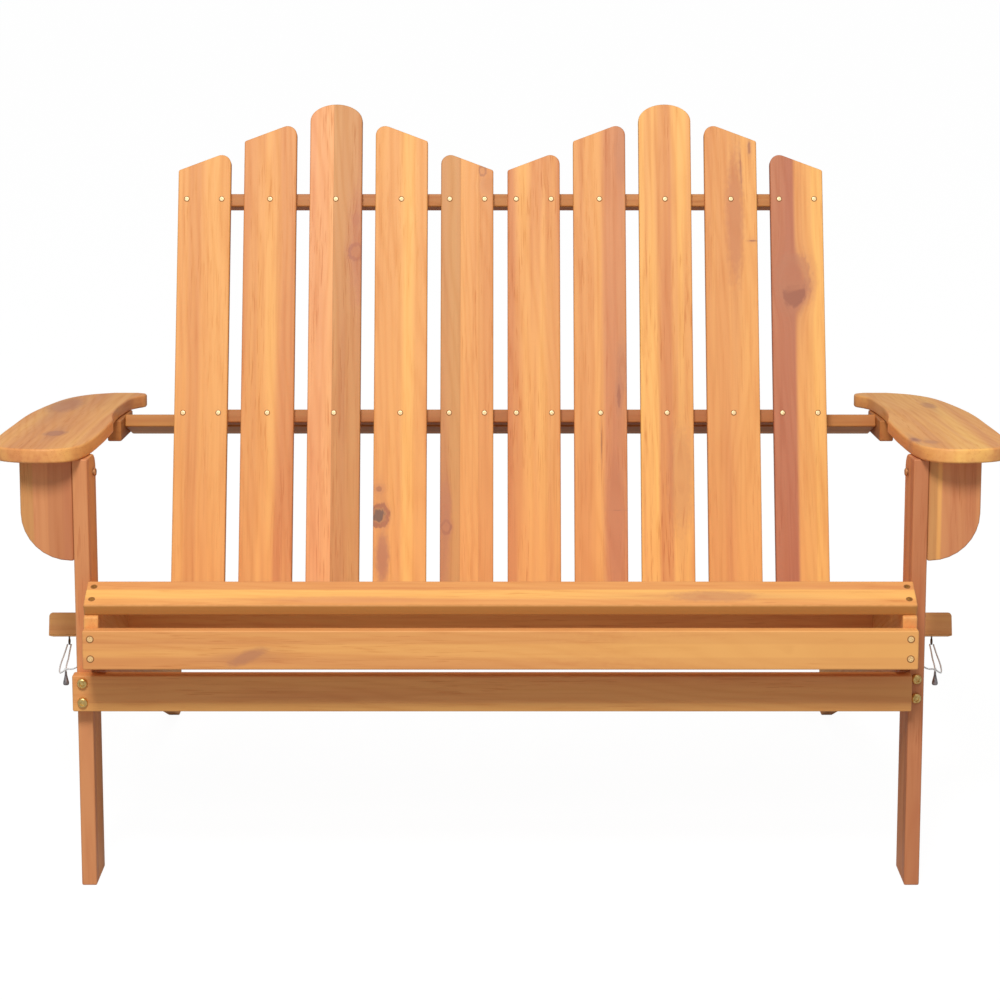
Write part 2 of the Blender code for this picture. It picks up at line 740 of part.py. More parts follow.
def fit(anchor, clear, towards):
    """A cord's end: the given distance from its anchor, on the way to the next point."""
    anchor, towards = Vector(anchor), Vector(towards)
    return tuple(anchor + (towards - anchor).normalized() * clear)


def tether_ends():
    """Anchor and distance of each cord's first end; every last end meets the knot."""
    ring_low = bar_low_h - eye_drop - 2 * eye_radius
    beside = cord_radius + eye_wire + gap
    return {"outer": ((eye_x + beside, eye_y, ring_low), gap),
            "inner": ((eye_x - beside, eye_y, ring_low), gap),
            "free": ((leg_outer_x + gap + cord_radius + gap, leg_pivot_y, leg_pivot_h),
                     bolt_head_radius + gap)}


def build_tether(side, word):
    knot = (peg_x, peg_y, peg_top_h + gap + knot_radius)
    ends = tether_ends()
    for name, middle in tether_routes().items():
        first = fit(*ends[name], middle[0])
        last = fit(knot, knot_radius + gap, middle[-1])
        route = [(side * x, y, h) for x, y, h in [first] + middle + [last]]
        points = smooth_run(route, run_steps) + [route[-1]]
        tube("cord_{}_{}".format(name, word), points, cord_radius, "cord", bench)
    ball = [(knot_radius * math.sin(math.pi * i / knot_steps),
             knot_radius * (1 - math.cos(math.pi * i / knot_steps))) for i in range(knot_steps + 1)]
    ball[0] = (0.0, ball[0][1])
    ball[-1] = (0.0, ball[-1][1])
    turned("knot_" + word, ball, (side * peg_x, peg_y, peg_top_h + gap), (0, 0, 1), "cord", bench,
           knot_steps)
    body_shares = ((1.0, 0.0), (1.0, 0.18), (1.25, 0.32), (2.1, 0.62), (2.75, 0.84), (2.6, 0.95),
                   (1.5, 1.0))
    profile = [(0.0, 0.0)] + [(min(peg_neck_radius * r, peg_radius), peg_length * d)
                              for r, d in body_shares]
    turned("peg_" + word, profile + [(0.0, peg_length)], (side * peg_x, peg_y, peg_top_h),
           (0, 0, -1), "steel", bench)


for side, word in ((-1, "left"), (1, "right")):
    build_rail(side, word)
    build_leg(side, word)
    build_bracket(side, word)
    build_arm(side, word)
    build_front_cleat(side, word)
    build_rear_cleat(side, word)
    build_hinge_bolts(side, word)
    build_eye(side, word)
    build_tether(side, word)
build_seat()
build_cross_bar()
build_apron()
build_back_slats()
build_back_bars()
bpy.context.view_layer.update()
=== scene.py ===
# %% [markdown]
# # A folding adirondack loveseat
# The real object is a garden bench for two, made of oiled boards. Two sloping rails carry the
# seat and stand on the floor behind. The front legs, the arms and the fan-topped back are
# hinged, so that the bench folds flat, and a locking peg hangs on a thin cord at each end of
# the bar below the seat.
#
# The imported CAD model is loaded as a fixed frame. This script leaves its sizes alone and adds
# what makes it look real: planed boards with glued staves, grain and knots, brass screws and
# bolts, steel eyes, pegs and twisted cords.

import json
import math

import bmesh
import bpy
import numpy as np
from mathutils import Matrix, Vector


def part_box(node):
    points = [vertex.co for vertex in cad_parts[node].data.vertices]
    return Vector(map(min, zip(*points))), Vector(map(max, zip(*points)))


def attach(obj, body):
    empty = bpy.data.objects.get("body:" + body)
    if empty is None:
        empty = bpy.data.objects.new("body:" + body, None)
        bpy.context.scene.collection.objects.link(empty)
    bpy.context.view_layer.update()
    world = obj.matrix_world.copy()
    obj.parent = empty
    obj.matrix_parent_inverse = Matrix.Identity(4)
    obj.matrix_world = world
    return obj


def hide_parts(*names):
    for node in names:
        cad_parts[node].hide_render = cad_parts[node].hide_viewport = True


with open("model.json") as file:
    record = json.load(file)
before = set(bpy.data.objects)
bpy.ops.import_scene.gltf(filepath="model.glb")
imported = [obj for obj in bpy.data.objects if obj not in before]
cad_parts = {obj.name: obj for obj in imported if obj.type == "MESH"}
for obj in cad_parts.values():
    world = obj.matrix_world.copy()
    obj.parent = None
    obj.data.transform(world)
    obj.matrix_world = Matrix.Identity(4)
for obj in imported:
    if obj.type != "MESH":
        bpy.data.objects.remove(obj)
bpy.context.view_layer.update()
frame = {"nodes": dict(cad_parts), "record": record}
scene = bpy.context.scene
SIDES = ((-1, "left"), (1, "right"))

# %% [markdown]
# ## The camera
# The photograph was taken from the front, about 3.3 m away and 1.2 m up. The camera looks
# down by nine degrees, and a small downward shift of the picture completes the framing.

# %% Camera
MIDDLE_Y = 0.348          # how far the frame's origin lies behind the front face of the legs
CAMERA_PLACE = (-0.0006, -3.289 - MIDDLE_Y, 1.203)
CAMERA_PITCH = math.radians(9.04)
CAMERA_LENS = 98.7
CAMERA_SHIFT_Y = -0.15


def placed(name, data):
    """A new object of the scene that shows this data."""
    item = bpy.data.objects.new(name, data)
    scene.collection.objects.link(item)
    return item


camera_data = bpy.data.cameras.new("camera")
camera_data.lens = CAMERA_LENS
camera_data.sensor_width = 36.0
camera_data.shift_y = CAMERA_SHIFT_Y
camera_data.clip_end = 200.0
camera = placed("camera", camera_data)
camera.location = CAMERA_PLACE
camera.rotation_euler = (math.pi / 2 - CAMERA_PITCH, 0.0, 0.0)
scene.camera = camera
print("camera", CAMERA_PLACE, "lens", CAMERA_LENS)

# %% [markdown]
# ## Surfaces from arrays
# A new shape here is a grid of points, worked out as a whole array: one index runs round the
# section and the other runs along the piece. Turned parts, cords, wires and boards with
# rounded edges all come from the same grid, so one helper joins neighbouring points to faces.

# %% Helpers for meshes
BODY_OF = {name: body for body, names in frame["record"]["behaviour"]["bodies"].items()
           for name in names}


def closed_piece(name, points, faces, smooth_angle=40.0):
    """A closed mesh of an array of points and lists of faces, turned outwards."""
    mesh = bpy.data.meshes.new(name)
    mesh.from_pydata(points.tolist(), [], faces)
    mesh.validate()
    mesh.update()
    mesh.shade_smooth()
    mesh.set_sharp_from_angle(angle=math.radians(smooth_angle))
    shape = bmesh.new()
    shape.from_mesh(mesh)
    bmesh.ops.recalc_face_normals(shape, faces=shape.faces)
    shape.to_mesh(mesh)
    shape.free()
    return placed(name, mesh)


def dress(item, node, finish=None):
    """Let a piece replace a CAD node and ride on that node's body, with the finish if one is given.
    """
    if finish:
        item.data.materials.append(finish)
    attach(item, BODY_OF[node])
    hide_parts(node)
    return item


def grid_faces(rows, columns):
    """Four-sided faces of a grid whose rows are rings, each joined to the next one."""
    r, c = np.arange(rows - 1)[:, None] * columns, np.arange(columns)[None, :]
    ahead = (c + 1) % columns
    quads = np.stack([r + c, r + ahead, r + columns + ahead, r + columns + c], axis=-1)
    return quads.reshape(-1, 4).tolist()


def grid_piece(name, grid, smooth_angle=40.0):
    """A closed piece of rings of points, with one more face over each end."""
    rows, columns = grid.shape[:2]
    last = (rows - 1) * columns
    ends = [list(range(columns))[::-1], list(range(last, last + columns))]
    return closed_piece(name, grid.reshape(-1, 3), grid_faces(rows, columns) + ends, smooth_angle)


def unit(vectors):
    """Each vector divided by its length."""
    return vectors / np.linalg.norm(vectors, axis=-1, keepdims=True)


def circle(first, second, t):
    """Points of a circle: first * cos t + second * sin t."""
    return first * np.cos(t)[..., None] + second * np.sin(t)[..., None]


def basis(direction):
    """Two unit vectors at right angles to a direction, and the direction itself."""
    axis = unit(np.asarray(direction, float))
    helper = np.array([0.0, 0.0, 1.0]) if abs(axis[2]) < 0.9 else np.array([1.0, 0.0, 0.0])
    first = unit(np.cross(helper, axis))
    return first, np.cross(axis, first), axis


def turned(name, profile, start, direction, segments, bend=None):
    """A turned piece. A point is start + axis * d + r * (first * cos t + second * sin t).

    profile holds the pairs (r, d); bend(row, t) may multiply r, for a socket or for lobes.
    """
    first, second, axis = basis(direction)
    profile = np.asarray(profile, float)
    t = 2 * np.pi * np.arange(segments) / segments
    radius = np.repeat(profile[:, :1], segments, axis=1)
    if bend:
        radius = radius * bend(np.arange(len(profile))[:, None], t[None, :])
    points = (np.asarray(start, float) + axis * profile[:, 1][:, None, None]
              + radius[:, :, None] * circle(first, second, t))
    return grid_piece(name, points)


def tube(name, path, radius, segments, bend=None):
    """A round bar along a path. The section is carried along without twisting.

    A point is path(s) + r * (first(s) * cos t + second(s) * sin t); bend(s, t) multiplies r.
    """
    tangents = unit(np.gradient(path, axis=0))
    first = basis(tangents[0])[0]
    firsts = []
    for tangent in tangents:
        first = unit(first - tangent * first.dot(tangent))
        firsts.append(first)
    firsts = np.array(firsts)
    seconds = np.cross(tangents, firsts)
    t = 2 * np.pi * np.arange(segments) / segments
    steps = np.linalg.norm(np.diff(path, axis=0), axis=1)
    along = np.concatenate([[0.0], np.cumsum(steps)])
    size = np.full((len(path), segments), radius)
    if bend:
        size = size * bend(along[:, None], t[None, :])
    rings = circle(firsts[:, None, :], seconds[:, None, :], t)
    return grid_piece(name, path[:, None, :] + size[:, :, None] * rings, 80.0)


def smooth_path(points, steps):
    """A Catmull-Rom curve: between two points, a cubic of those two and their neighbours."""
    points = np.asarray(points, float)
    padded = np.vstack([points[:1], points, points[-1:]])
    t = (np.arange(steps) / steps)[None, :, None]
    a, b, c, d = (padded[i:len(padded) - 3 + i][:, None, :] for i in range(4))
    run = 0.5 * (2 * b + (c - a) * t + (2 * a - 5 * b + 4 * c - d) * t ** 2
                 + (3 * b - a - 3 * c + d) * t ** 3)
    return np.vstack([run.reshape(-1, points.shape[1]), points[-1:]])


print("helpers ready")

# %% [markdown]
# ## Cords
# A locking peg hangs from a screw eye below each end of the cross bar, on a doubled, twisted
# cord. Its third end runs forward and is looped over the head of the leg's hinge bolt. A thin
# twisted cord is a tube whose section has three lobes that turn as they go along, which shows
# as strands when light falls across them. The points are those of the CAD route.

# %% Cords
CORD_RADIUS = 0.0010
STRAND_PITCH = 0.0045
ROUTES = {
    "outer": [(0.5725, 0.2030, 0.2430), (0.5752, 0.1900, 0.2340), (0.5748, 0.1750, 0.2292),
              (0.5720, 0.1620, 0.2296), (0.5682, 0.1545, 0.2325)],
    "inner": [(0.5652, 0.2000, 0.2462), (0.5646, 0.1860, 0.2418), (0.5640, 0.1700, 0.2398)],
    "free": [(0.5280, 0.0362, 0.2745), (0.5345, 0.0588, 0.2655), (0.5415, 0.0820, 0.2575),
             (0.5485, 0.1045, 0.2505), (0.5553, 0.1270, 0.2444)],
}


def end_centre(points, towards, away):
    """Middle of the cord's end face beyond a route point: the points furthest that way."""
    reach = (points - towards) @ unit(towards - away)
    return points[reach > reach.max() - 0.0002].mean(axis=0)


cords = {}
for side, word in SIDES:
    for name, middle in ROUTES.items():
        route = np.array([[side * x, y - MIDDLE_Y, h] for x, y, h in middle])
        node = f"cord_{name}_{word}"
        points = np.array([v.co for v in frame["nodes"][node].data.vertices], float)
        first = end_centre(points, route[0], route[1])
        last = end_centre(points, route[-1], route[-2])
        path = smooth_path(np.vstack([first, route, last]), 10)
        length = float(np.linalg.norm(np.diff(path, axis=0), axis=1).sum())
        strands = tube(f"tether_{name}_{word}", path, CORD_RADIUS, 18,
                       lambda s, t: 1.0 + 0.1 * np.cos(3 * t - 2 * np.pi * s / STRAND_PITCH))
        cords[name, word] = (dress(strands, node), path, length)
        print(strands.name, "length", round(length, 4))

# %% [markdown]
# ## Shader groups
# Three effects are shared by every board, so each is built once as a node group: glued staves,
# grain, and knots that bend and darken it. Each group takes a board's own coordinates: X along
# the grain, Y across the board's face and Z through its thickness.

# %% Helpers for shader nodes
def tone(red, green, blue):
    """A colour given as on a screen, turned into the linear values that shaders use."""
    parts = [c / 255 for c in (red, green, blue)]
    linear = [p / 12.92 if p <= 0.04045 else ((p + 0.055) / 1.055) ** 2.4 for p in parts]
    return (*linear, 1.0)


class Wiring:
    """Adds nodes to one node tree and joins them."""

    def __init__(self, tree):
        self.tree = tree

    def feed(self, socket, value):
        if isinstance(value, bpy.types.NodeSocket):
            self.tree.links.new(value, socket)
        else:
            socket.default_value = value

    def node(self, kind, *values, **settings):
        """A node with its settings, whose first inputs take the values in turn."""
        item = self.tree.nodes.new(kind)
        for key, value in settings.items():
            setattr(item, key, value)
        for socket, value in zip(item.inputs, values):
            self.feed(socket, value)
        return item

    def fill(self, item, **values):
        """Feed a node's inputs by name; an underscore stands for a space."""
        for label, value in values.items():
            self.feed(item.inputs[label.replace("_", " ")], value)
        return item

    def group(self, tree, **values):
        return self.fill(self.node("ShaderNodeGroup", node_tree=tree), **values)

    def math(self, operation, a, b=0.0, c=0.0):
        return self.node("ShaderNodeMath", a, b, c, operation=operation).outputs[0]

    def times(self, a, b):
        return self.math("MULTIPLY", a, b)

    def plus(self, a, b):
        return self.math("ADD", a, b)

    def times_plus(self, a, b, c):
        return self.math("MULTIPLY_ADD", a, b, c)

    def squared(self, a):
        return self.math("POWER", a, 2.0)

    def stretch(self, vector, by):
        return self.node("ShaderNodeVectorMath", vector, by, operation="MULTIPLY").outputs[0]

    def split(self, vector):
        return self.node("ShaderNodeSeparateXYZ", vector).outputs

    def join(self, x, y, z):
        return self.node("ShaderNodeCombineXYZ", x, y, z).outputs[0]

    def noise(self, vector, detail=2.0, roughness=0.5, scale=1.0):
        return self.fill(self.node("ShaderNodeTexNoise"), Vector=vector, Scale=scale,
                         Detail=detail, Roughness=roughness).outputs["Fac"]

    def span(self, value, low, high, to_low=0.0, to_high=1.0):
        """A smooth step from to_low, where the value is low, to to_high, where it is high."""
        return self.node("ShaderNodeMapRange", value, low, high, to_low, to_high,
                         interpolation_type="SMOOTHSTEP").outputs[0]

    def mix(self, share, a, b, blend="MIX"):
        item = self.node("ShaderNodeMix", data_type="RGBA", blend_type=blend)
        return self.fill(item, Factor=share, A=a, B=b).outputs["Result"]


def shader_group(name, inputs, outputs):
    """An empty node group with named sockets; kinds are Float, Vector and Color."""
    tree = bpy.data.node_groups.new(name, "ShaderNodeTree")
    for direction, sockets in (("INPUT", inputs), ("OUTPUT", outputs)):
        for label, kind, *start in sockets:
            socket = tree.interface.new_socket(label, in_out=direction,
                                               socket_type="NodeSocket" + kind)
            if start:
                socket.default_value = start[0]
    net = Wiring(tree)
    return net, net.node("NodeGroupInput").outputs, net.node("NodeGroupOutput")


print("shader helpers ready")

# %% [markdown]
# ### Staves
# A slat is glued up from two or three narrow staves of different logs, so its colour changes
# at straight lines along the grain, with a hair-thin darker glue line between them.

# %% The staves group
def build_staves():
    """Tone 1 below Edge 1, tone 2 up to Edge 2 and tone 3 above, measured across the board."""
    net, given, out = shader_group(
        "glued staves",
        [("Vector", "Vector"), ("Edge 1", "Float", -0.01), ("Edge 2", "Float", 0.01),
         ("Tone 1", "Color"), ("Tone 2", "Color"), ("Tone 3", "Color"), ("Soft", "Float", 0.0004)],
        [("Color", "Color"), ("Stave", "Float"), ("Glue line", "Float")])
    across = net.split(given["Vector"])[1]
    steps, lines = [], []
    for label in ("Edge 1", "Edge 2"):
        past = net.math("SUBTRACT", across, given[label])
        steps.append(net.span(past, net.times(given["Soft"], -1.0), given["Soft"]))
        lines.append(net.span(net.math("ABSOLUTE", past), 0.0, 0.0006, 1.0, 0.0))
    first = net.mix(steps[0], given["Tone 1"], given["Tone 2"])
    net.fill(out, Color=net.mix(steps[1], first, given["Tone 3"]), Stave=net.plus(*steps),
             Glue_line=net.math("MAXIMUM", *lines))
    return net.tree


STAVES = build_staves()
print("group:", STAVES.name)

# %% [markdown]
# ### Grain
# This wood is soft in pattern: broad bands of rosier and more golden tone, faint long arches
# where the growth rings are cut at a slant, and patches of short fine dashes, the vessels.
# Each is noise stretched along the grain by its own amount. The arches come from the distance
# to a line that leans against the board.

# %% The grain group
ROSY, GOLDEN = (0.88, 0.775, 0.86, 1.0), (1.04, 1.11, 1.06, 1.0)
RING_TINT, DASH_TINT = (0.92, 0.84, 0.80, 1.0), (0.80, 0.64, 0.58, 1.0)
STREAK_TINT = (0.945, 0.90, 0.88, 1.0)


def build_grain():
    """Color = tone, tinted in turn by the bands, the clouds, the arches, streaks and dashes."""
    net, given, out = shader_group(
        "oiled grain",
        [("Vector", "Vector"), ("Color", "Color"), ("Stave", "Float", 0.0),
         ("Seed", "Float", 0.0), ("Figure", "Float", 0.4), ("Blush", "Float", 0.5),
         ("Dashes", "Float", 0.5), ("Ring width", "Float", 0.011)],
        [("Color", "Color"), ("Roughness", "Float"), ("Height", "Float")])
    shift = net.times_plus(given["Stave"], 3.7, given["Seed"])
    u, v, w = net.split(given["Vector"])
    place = net.join(net.plus(u, shift), net.times_plus(shift, 0.31, v),
                     net.times_plus(shift, 0.17, w))

    def stretched(along, across, detail=2.0, roughness=0.5):
        return net.noise(net.stretch(place, (along, across, across)), detail, roughness)

    slow, mid = stretched(1.7, 9.0), stretched(4.5, 55.0, 3.0)
    lean = net.times_plus(u, 0.055, net.times(slow, 0.10))
    off_v = net.squared(net.plus(v, lean))
    off_w = net.squared(net.times_plus(mid, 0.006, w))
    distance = net.math("SQRT", net.plus(off_v, off_w))
    turn = net.times(net.math("DIVIDE", distance, given["Ring width"]), 2 * math.pi)
    arch = net.math("POWER", net.times_plus(net.math("SINE", turn), 0.5, 0.5), 2.2)
    band, cloud = stretched(1.2, 44.0, 2.0, 0.55), stretched(7.0, 34.0)
    streak = stretched(7.0, 230.0)
    patch = net.span(stretched(5.0, 38.0), 0.42, 0.62)
    dash = net.times(net.span(stretched(26.0, 620.0, 1.0), 0.57, 0.72), patch)

    color = given["Color"]
    for share, tint in (
            (net.times(net.span(band, 0.46, 0.66), given["Blush"]), ROSY),
            (net.times(net.span(band, 0.48, 0.32), given["Blush"]), GOLDEN),
            (net.times(net.span(cloud, 0.50, 0.68), 0.45), RING_TINT),
            (net.times(arch, given["Figure"]), RING_TINT),
            (net.span(streak, 0.50, 0.70), STREAK_TINT),
            (net.times(dash, given["Dashes"]), DASH_TINT)):
        color = net.mix(share, color, tint, "MULTIPLY")
    rough = net.times_plus(streak, 0.10, net.times_plus(arch, 0.05, 0.42))
    height = net.times_plus(arch, 0.25, net.times(streak, 0.5))
    net.fill(out, Color=color, Roughness=net.times_plus(dash, 0.10, rough),
             Height=net.times_plus(dash, -0.8, height))
    return net.tree


GRAIN = build_grain()
print("group:", GRAIN.name)

# %% [markdown]
# ### Knots
# A branch leaves a dark core with a ring of bark round it, a brown halo that runs out along
# the board, and grain that flows round it. The group draws the board's coordinates in towards
# the knot, so that whatever is drawn with them bows out.

# %% The knot group
def build_knot():
    """Masks fall off with r, the distance in knot sizes; across is drawn in by exp(-0.8 r r)."""
    net, given, out = shader_group(
        "knot",
        [("Vector", "Vector"), ("Along", "Float"), ("Across", "Float"), ("Size", "Float", 0.01),
         ("Long", "Float", 1.6), ("Lean", "Float", 0.0)],
        [("Vector", "Vector"), ("Core", "Float"), ("Ring", "Float"), ("Halo", "Float")])
    u, v, w = net.split(given["Vector"])
    off_u = net.math("SUBTRACT", u, given["Along"])
    off_v = net.math("SUBTRACT", v, given["Across"])
    lean_u = net.times_plus(off_v, given["Lean"], off_u)
    far_u = net.math("DIVIDE", lean_u, net.times(given["Size"], given["Long"]))
    far_v = net.math("DIVIDE", off_v, given["Size"])
    u2, v2 = net.squared(far_u), net.squared(far_v)
    r2 = net.plus(u2, v2)
    wobble = net.noise(net.stretch(given["Vector"], (120.0, 210.0, 210.0)))
    r = net.plus(net.math("SQRT", r2), net.times_plus(wobble, 0.8, -0.4))
    bow = net.times(far_v, net.math("EXPONENT", net.times(r2, -0.8)))
    bow = net.times(bow, net.times(given["Size"], -1.1))
    bark = net.math("ABSOLUTE", net.math("SUBTRACT", r, 0.95))
    tail = net.times_plus(u2, -0.11, net.times(v2, -1.3))
    tail = net.times(net.math("EXPONENT", tail), 0.6)
    net.fill(out, Vector=net.join(u, net.plus(v, bow), w),
             Core=net.span(r, 0.45, 0.85, 1.0, 0.0),
             Ring=net.span(bark, 0.10, 0.34, 1.0, 0.0),
             Halo=net.math("MAXIMUM", tail, net.span(r, 0.7, 2.0, 1.0, 0.0)))
    return net.tree


KNOT = build_knot()
print("group:", KNOT.name)

# %% [markdown]
# ## One finish for every board
# A board's material is put together from those groups. Its Mapping node turns the object's
# coordinates so that X runs along the grain, wherever the board points. Knots come first,
# because they bend the coordinates, then staves give the colour and the grain works on it.

# %% Wood finish
TONES = {
    "painted_light_straw": tone(255, 191, 119), "gold": tone(251, 188, 106), "honey": tone(242, 174, 101),
    "peach": tone(244, 174, 114), "amber": tone(232, 161, 95), "rose": tone(221, 149, 98),
    "tan": tone(214, 152, 93), "russet": tone(205, 132, 88), "plum": tone(197, 125, 90),
    "hazel": tone(200, 136, 70), "chestnut": tone(188, 123, 66), "umber": tone(150, 95, 62),
    "knot": tone(156, 96, 76), "ember": tone(112, 92, 82), "stain": tone(190, 126, 94),
}


def new_finish(name):
    """A new material, its wiring, its shader and the object's own coordinates."""
    item = bpy.data.materials.new(name)
    item.use_nodes = True
    net = Wiring(item.node_tree)
    place = net.node("ShaderNodeTexCoord").outputs["Object"]
    return item, net, item.node_tree.nodes["Principled BSDF"], place


def finished(net, shader, color, roughness, height, strength, distance, **more):
    """Feed the shader; height differences tilt its normal by a bump."""
    bump = net.fill(net.node("ShaderNodeBump"), Strength=strength, Distance=distance,
                    Height=height)
    net.fill(shader, Base_Color=color, Roughness=roughness, Normal=bump.outputs[0], **more)


def mark(along, across, size, long, halo, lean=0.0, **shades):
    """A knot, stain or painted shade: the knot group's inputs, and its shares and tones."""
    spot = dict(Along=along, Across=across, Size=size, Long=long, Lean=lean)
    return spot, dict(shades, halo=halo)


def wood(name, along, across, origin, staves, seed, knots=(), blush=0.55, dashes=0.6,
         soft=0.0016, glue=0.0, bowed=False):
    """A board's material: staves is tone, edge, tone, edge, tone; knots holds marks."""
    item, net, shader, own_place = new_finish(name)
    u, v = Vector(along).normalized(), Vector(across)
    v = (v - u * v.dot(u)).normalized()
    turn = Matrix((u, v, u.cross(v)))
    mapping = net.fill(net.node("ShaderNodeMapping"), Vector=own_place,
                       Rotation=turn.to_euler("XYZ"), Location=-(turn @ Vector(origin)))
    place = mapping.outputs[0]
    drawn = []
    for spot, shades in knots:
        bend = net.group(KNOT, Vector=place, **spot)
        place = bend.outputs["Vector"]
        drawn.append((bend, shades))
    first, edge_1, second, edge_2, third = (list(staves) + [1.0, staves[-1]] * 2)[:5]
    glued = net.group(STAVES, Vector=place if bowed else mapping.outputs[0], Soft=soft,
                      Edge_1=edge_1, Edge_2=edge_2, Tone_1=TONES[first],
                      Tone_2=TONES[second], Tone_3=TONES[third])
    grain = net.group(GRAIN, Vector=place, Color=glued.outputs["Color"], Seed=seed,
                      Blush=blush, Dashes=dashes)
    color = grain.outputs["Color"]
    if glue:
        net.feed(grain.inputs["Stave"], glued.outputs["Stave"])
        color = net.mix(net.times(glued.outputs["Glue line"], glue), color, TONES["umber"])
    for bend, shades in drawn:
        for label, shade in (("halo", "stain"), ("ring", "knot"), ("core", "knot")):
            if label in shades:
                share = net.times(bend.outputs[label.capitalize()], shades[label])
                color = net.mix(share, color, TONES[shades.get(label + "_tone", shade)])
    finished(net, shader, color, grain.outputs["Roughness"], grain.outputs["Height"],
             0.25, 0.0004, Specular_IOR_Level=0.28)
    return item


print("tones:", len(TONES))

# %% [markdown]
# ## Metal and cord finishes
# Brass is a warm metal whose roughness wanders with handling marks; steel is darker. The
# cord's fibres are tiny bumps along the strands, with a little soft sheen.

# %% Metal and cord
def metal(name, color, dark, roughness, metallic=1.0):
    """A metal whose tone and gloss change slowly over the piece and in fine scratches."""
    item, net, shader, place = new_finish(name)
    wear = net.noise(place, 3.0, 0.6, 260.0)
    scratch = net.noise(net.stretch(place, (500.0, 3000.0, 900.0)))
    shade = net.mix(net.span(wear, 0.35, 0.7), tone(*color), tone(*dark))
    rough = net.times_plus(wear, 0.15, roughness - 0.07)
    finished(net, shader, shade, rough, scratch, 0.12, 0.00005, Metallic=metallic)
    return item


def fibre(name, color, dark, sheen):
    """Twisted fibre, or the painted shade of a countersink: matt, with fine noise."""
    item, net, shader, place = new_finish(name)
    fuzz = net.noise(place, 3.0, 0.7, 2600.0)
    shade = net.mix(net.span(fuzz, 0.3, 0.7), tone(*dark), tone(*color))
    rough = net.times_plus(fuzz, 0.2, 0.62)
    finished(net, shader, shade, rough, fuzz, 0.4, 0.0001, Sheen_Weight=sheen)
    return item


BRASS = metal("brass", (244, 212, 140), (206, 166, 96), 0.36)
PALE_BRASS = metal("pale brass", (255, 232, 182), (250, 216, 158), 0.45, 0.35)
WARM_BRASS = metal("warm brass", (255, 216, 152), (246, 196, 130), 0.5, 0.3)
# A darker copy of the brass: painted shade on the arm bolts' heads.
PAINTED_SHADE_BRASS = metal("painted shade brass", (198, 138, 88), (156, 102, 60), 0.55, 0.4)
DULL_BRASS = metal("dull brass", (172, 120, 50), (128, 84, 34), 0.55, 0.5)
STEEL = metal("steel", (140, 138, 134), (84, 82, 80), 0.38)
GREY_STEEL = metal("grey steel", (178, 173, 175), (126, 121, 124), 0.48)
CORD = fibre("cord", (255, 255, 253), (228, 229, 230), 1.0)
# Painted shade: the dark rim round each screw head stands in for the shadow in its countersink.
COUNTERSINK_SHADE = fibre("painted_countersink_shade", (176, 114, 58), (140, 88, 44), 0.0)
print("metals and cord ready")

# %% [markdown]
# ## Planed boards
# Each CAD board already has its true outline and rounded edges, but its mesh is loose
# triangles. A copy is merged into one skin, its flat faces are joined again, and its normals
# are weighted by face size, so the flats stay flat and the edge rounds catch a clean light.

# %% Boards from the frame
def planed(node, finish, reshape=None, divide=None):
    """A merged, smooth-shaded copy of a CAD board.

    divide(edge) picks edges to part in eight, then reshape(points) may move the points.
    """
    mesh = frame["nodes"][node].data.copy()
    mesh.materials.clear()
    mesh.name = "planed_" + node
    shape = bmesh.new()
    shape.from_mesh(mesh)
    bmesh.ops.remove_doubles(shape, verts=shape.verts, dist=0.00001)
    bmesh.ops.dissolve_limit(shape, angle_limit=math.radians(0.5), verts=shape.verts,
                             edges=shape.edges)
    if divide:
        bmesh.ops.subdivide_edges(shape, edges=[e for e in shape.edges if divide(e)], cuts=7,
                                  use_grid_fill=True)
    shape.to_mesh(mesh)
    shape.free()
    if reshape:
        points = np.empty(3 * len(mesh.vertices))
        mesh.vertices.foreach_get("co", points)
        mesh.vertices.foreach_set("co", reshape(points.reshape(-1, 3)).ravel())
        mesh.update()
    mesh.shade_smooth()
    mesh.set_sharp_from_angle(angle=math.radians(55.0))
    item = placed("planed_" + node, mesh)
    item.modifiers.new("weigh", "WEIGHTED_NORMAL").keep_sharp = True
    return dress(item, node, finish)


def middle_of(node):
    low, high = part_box(node)
    return (low + high) / 2


print("boards can be planed")

# %% [markdown]
# ## The back
# Ten slats stand in two fans of five. They lie aslope like most other boards, so one helper
# gives the directions of a slope. The two tall slats end in an arch, which the CAD model has as
# a flat between two rounds: the flat is parted into short pieces, and heights over the start
# of the rounds are scaled down to half an ellipse. Each slat has its own staves and marks.

# %% Back slats
def slope(angle):
    """Down to the rear, (0, cos a, -sin a), and out of the slope, (0, sin a, cos a)."""
    run, rise = math.cos(angle), math.sin(angle)
    return Vector((0.0, run, -rise)), Vector((0.0, rise, run))


BACK_PIVOT = Vector((0.0, 0.3255 - MIDDLE_Y, 0.288))
INTO_BACK, UP_BACK = slope(math.radians(18.1))
TALL_SLATS = (3, 8)
TIP_ROUND = 0.0235
TIP_START = 0.67          # a tall slat's flat lies further up the back than this
TIP_WIDE = 0.02           # and its long edges are wider than this

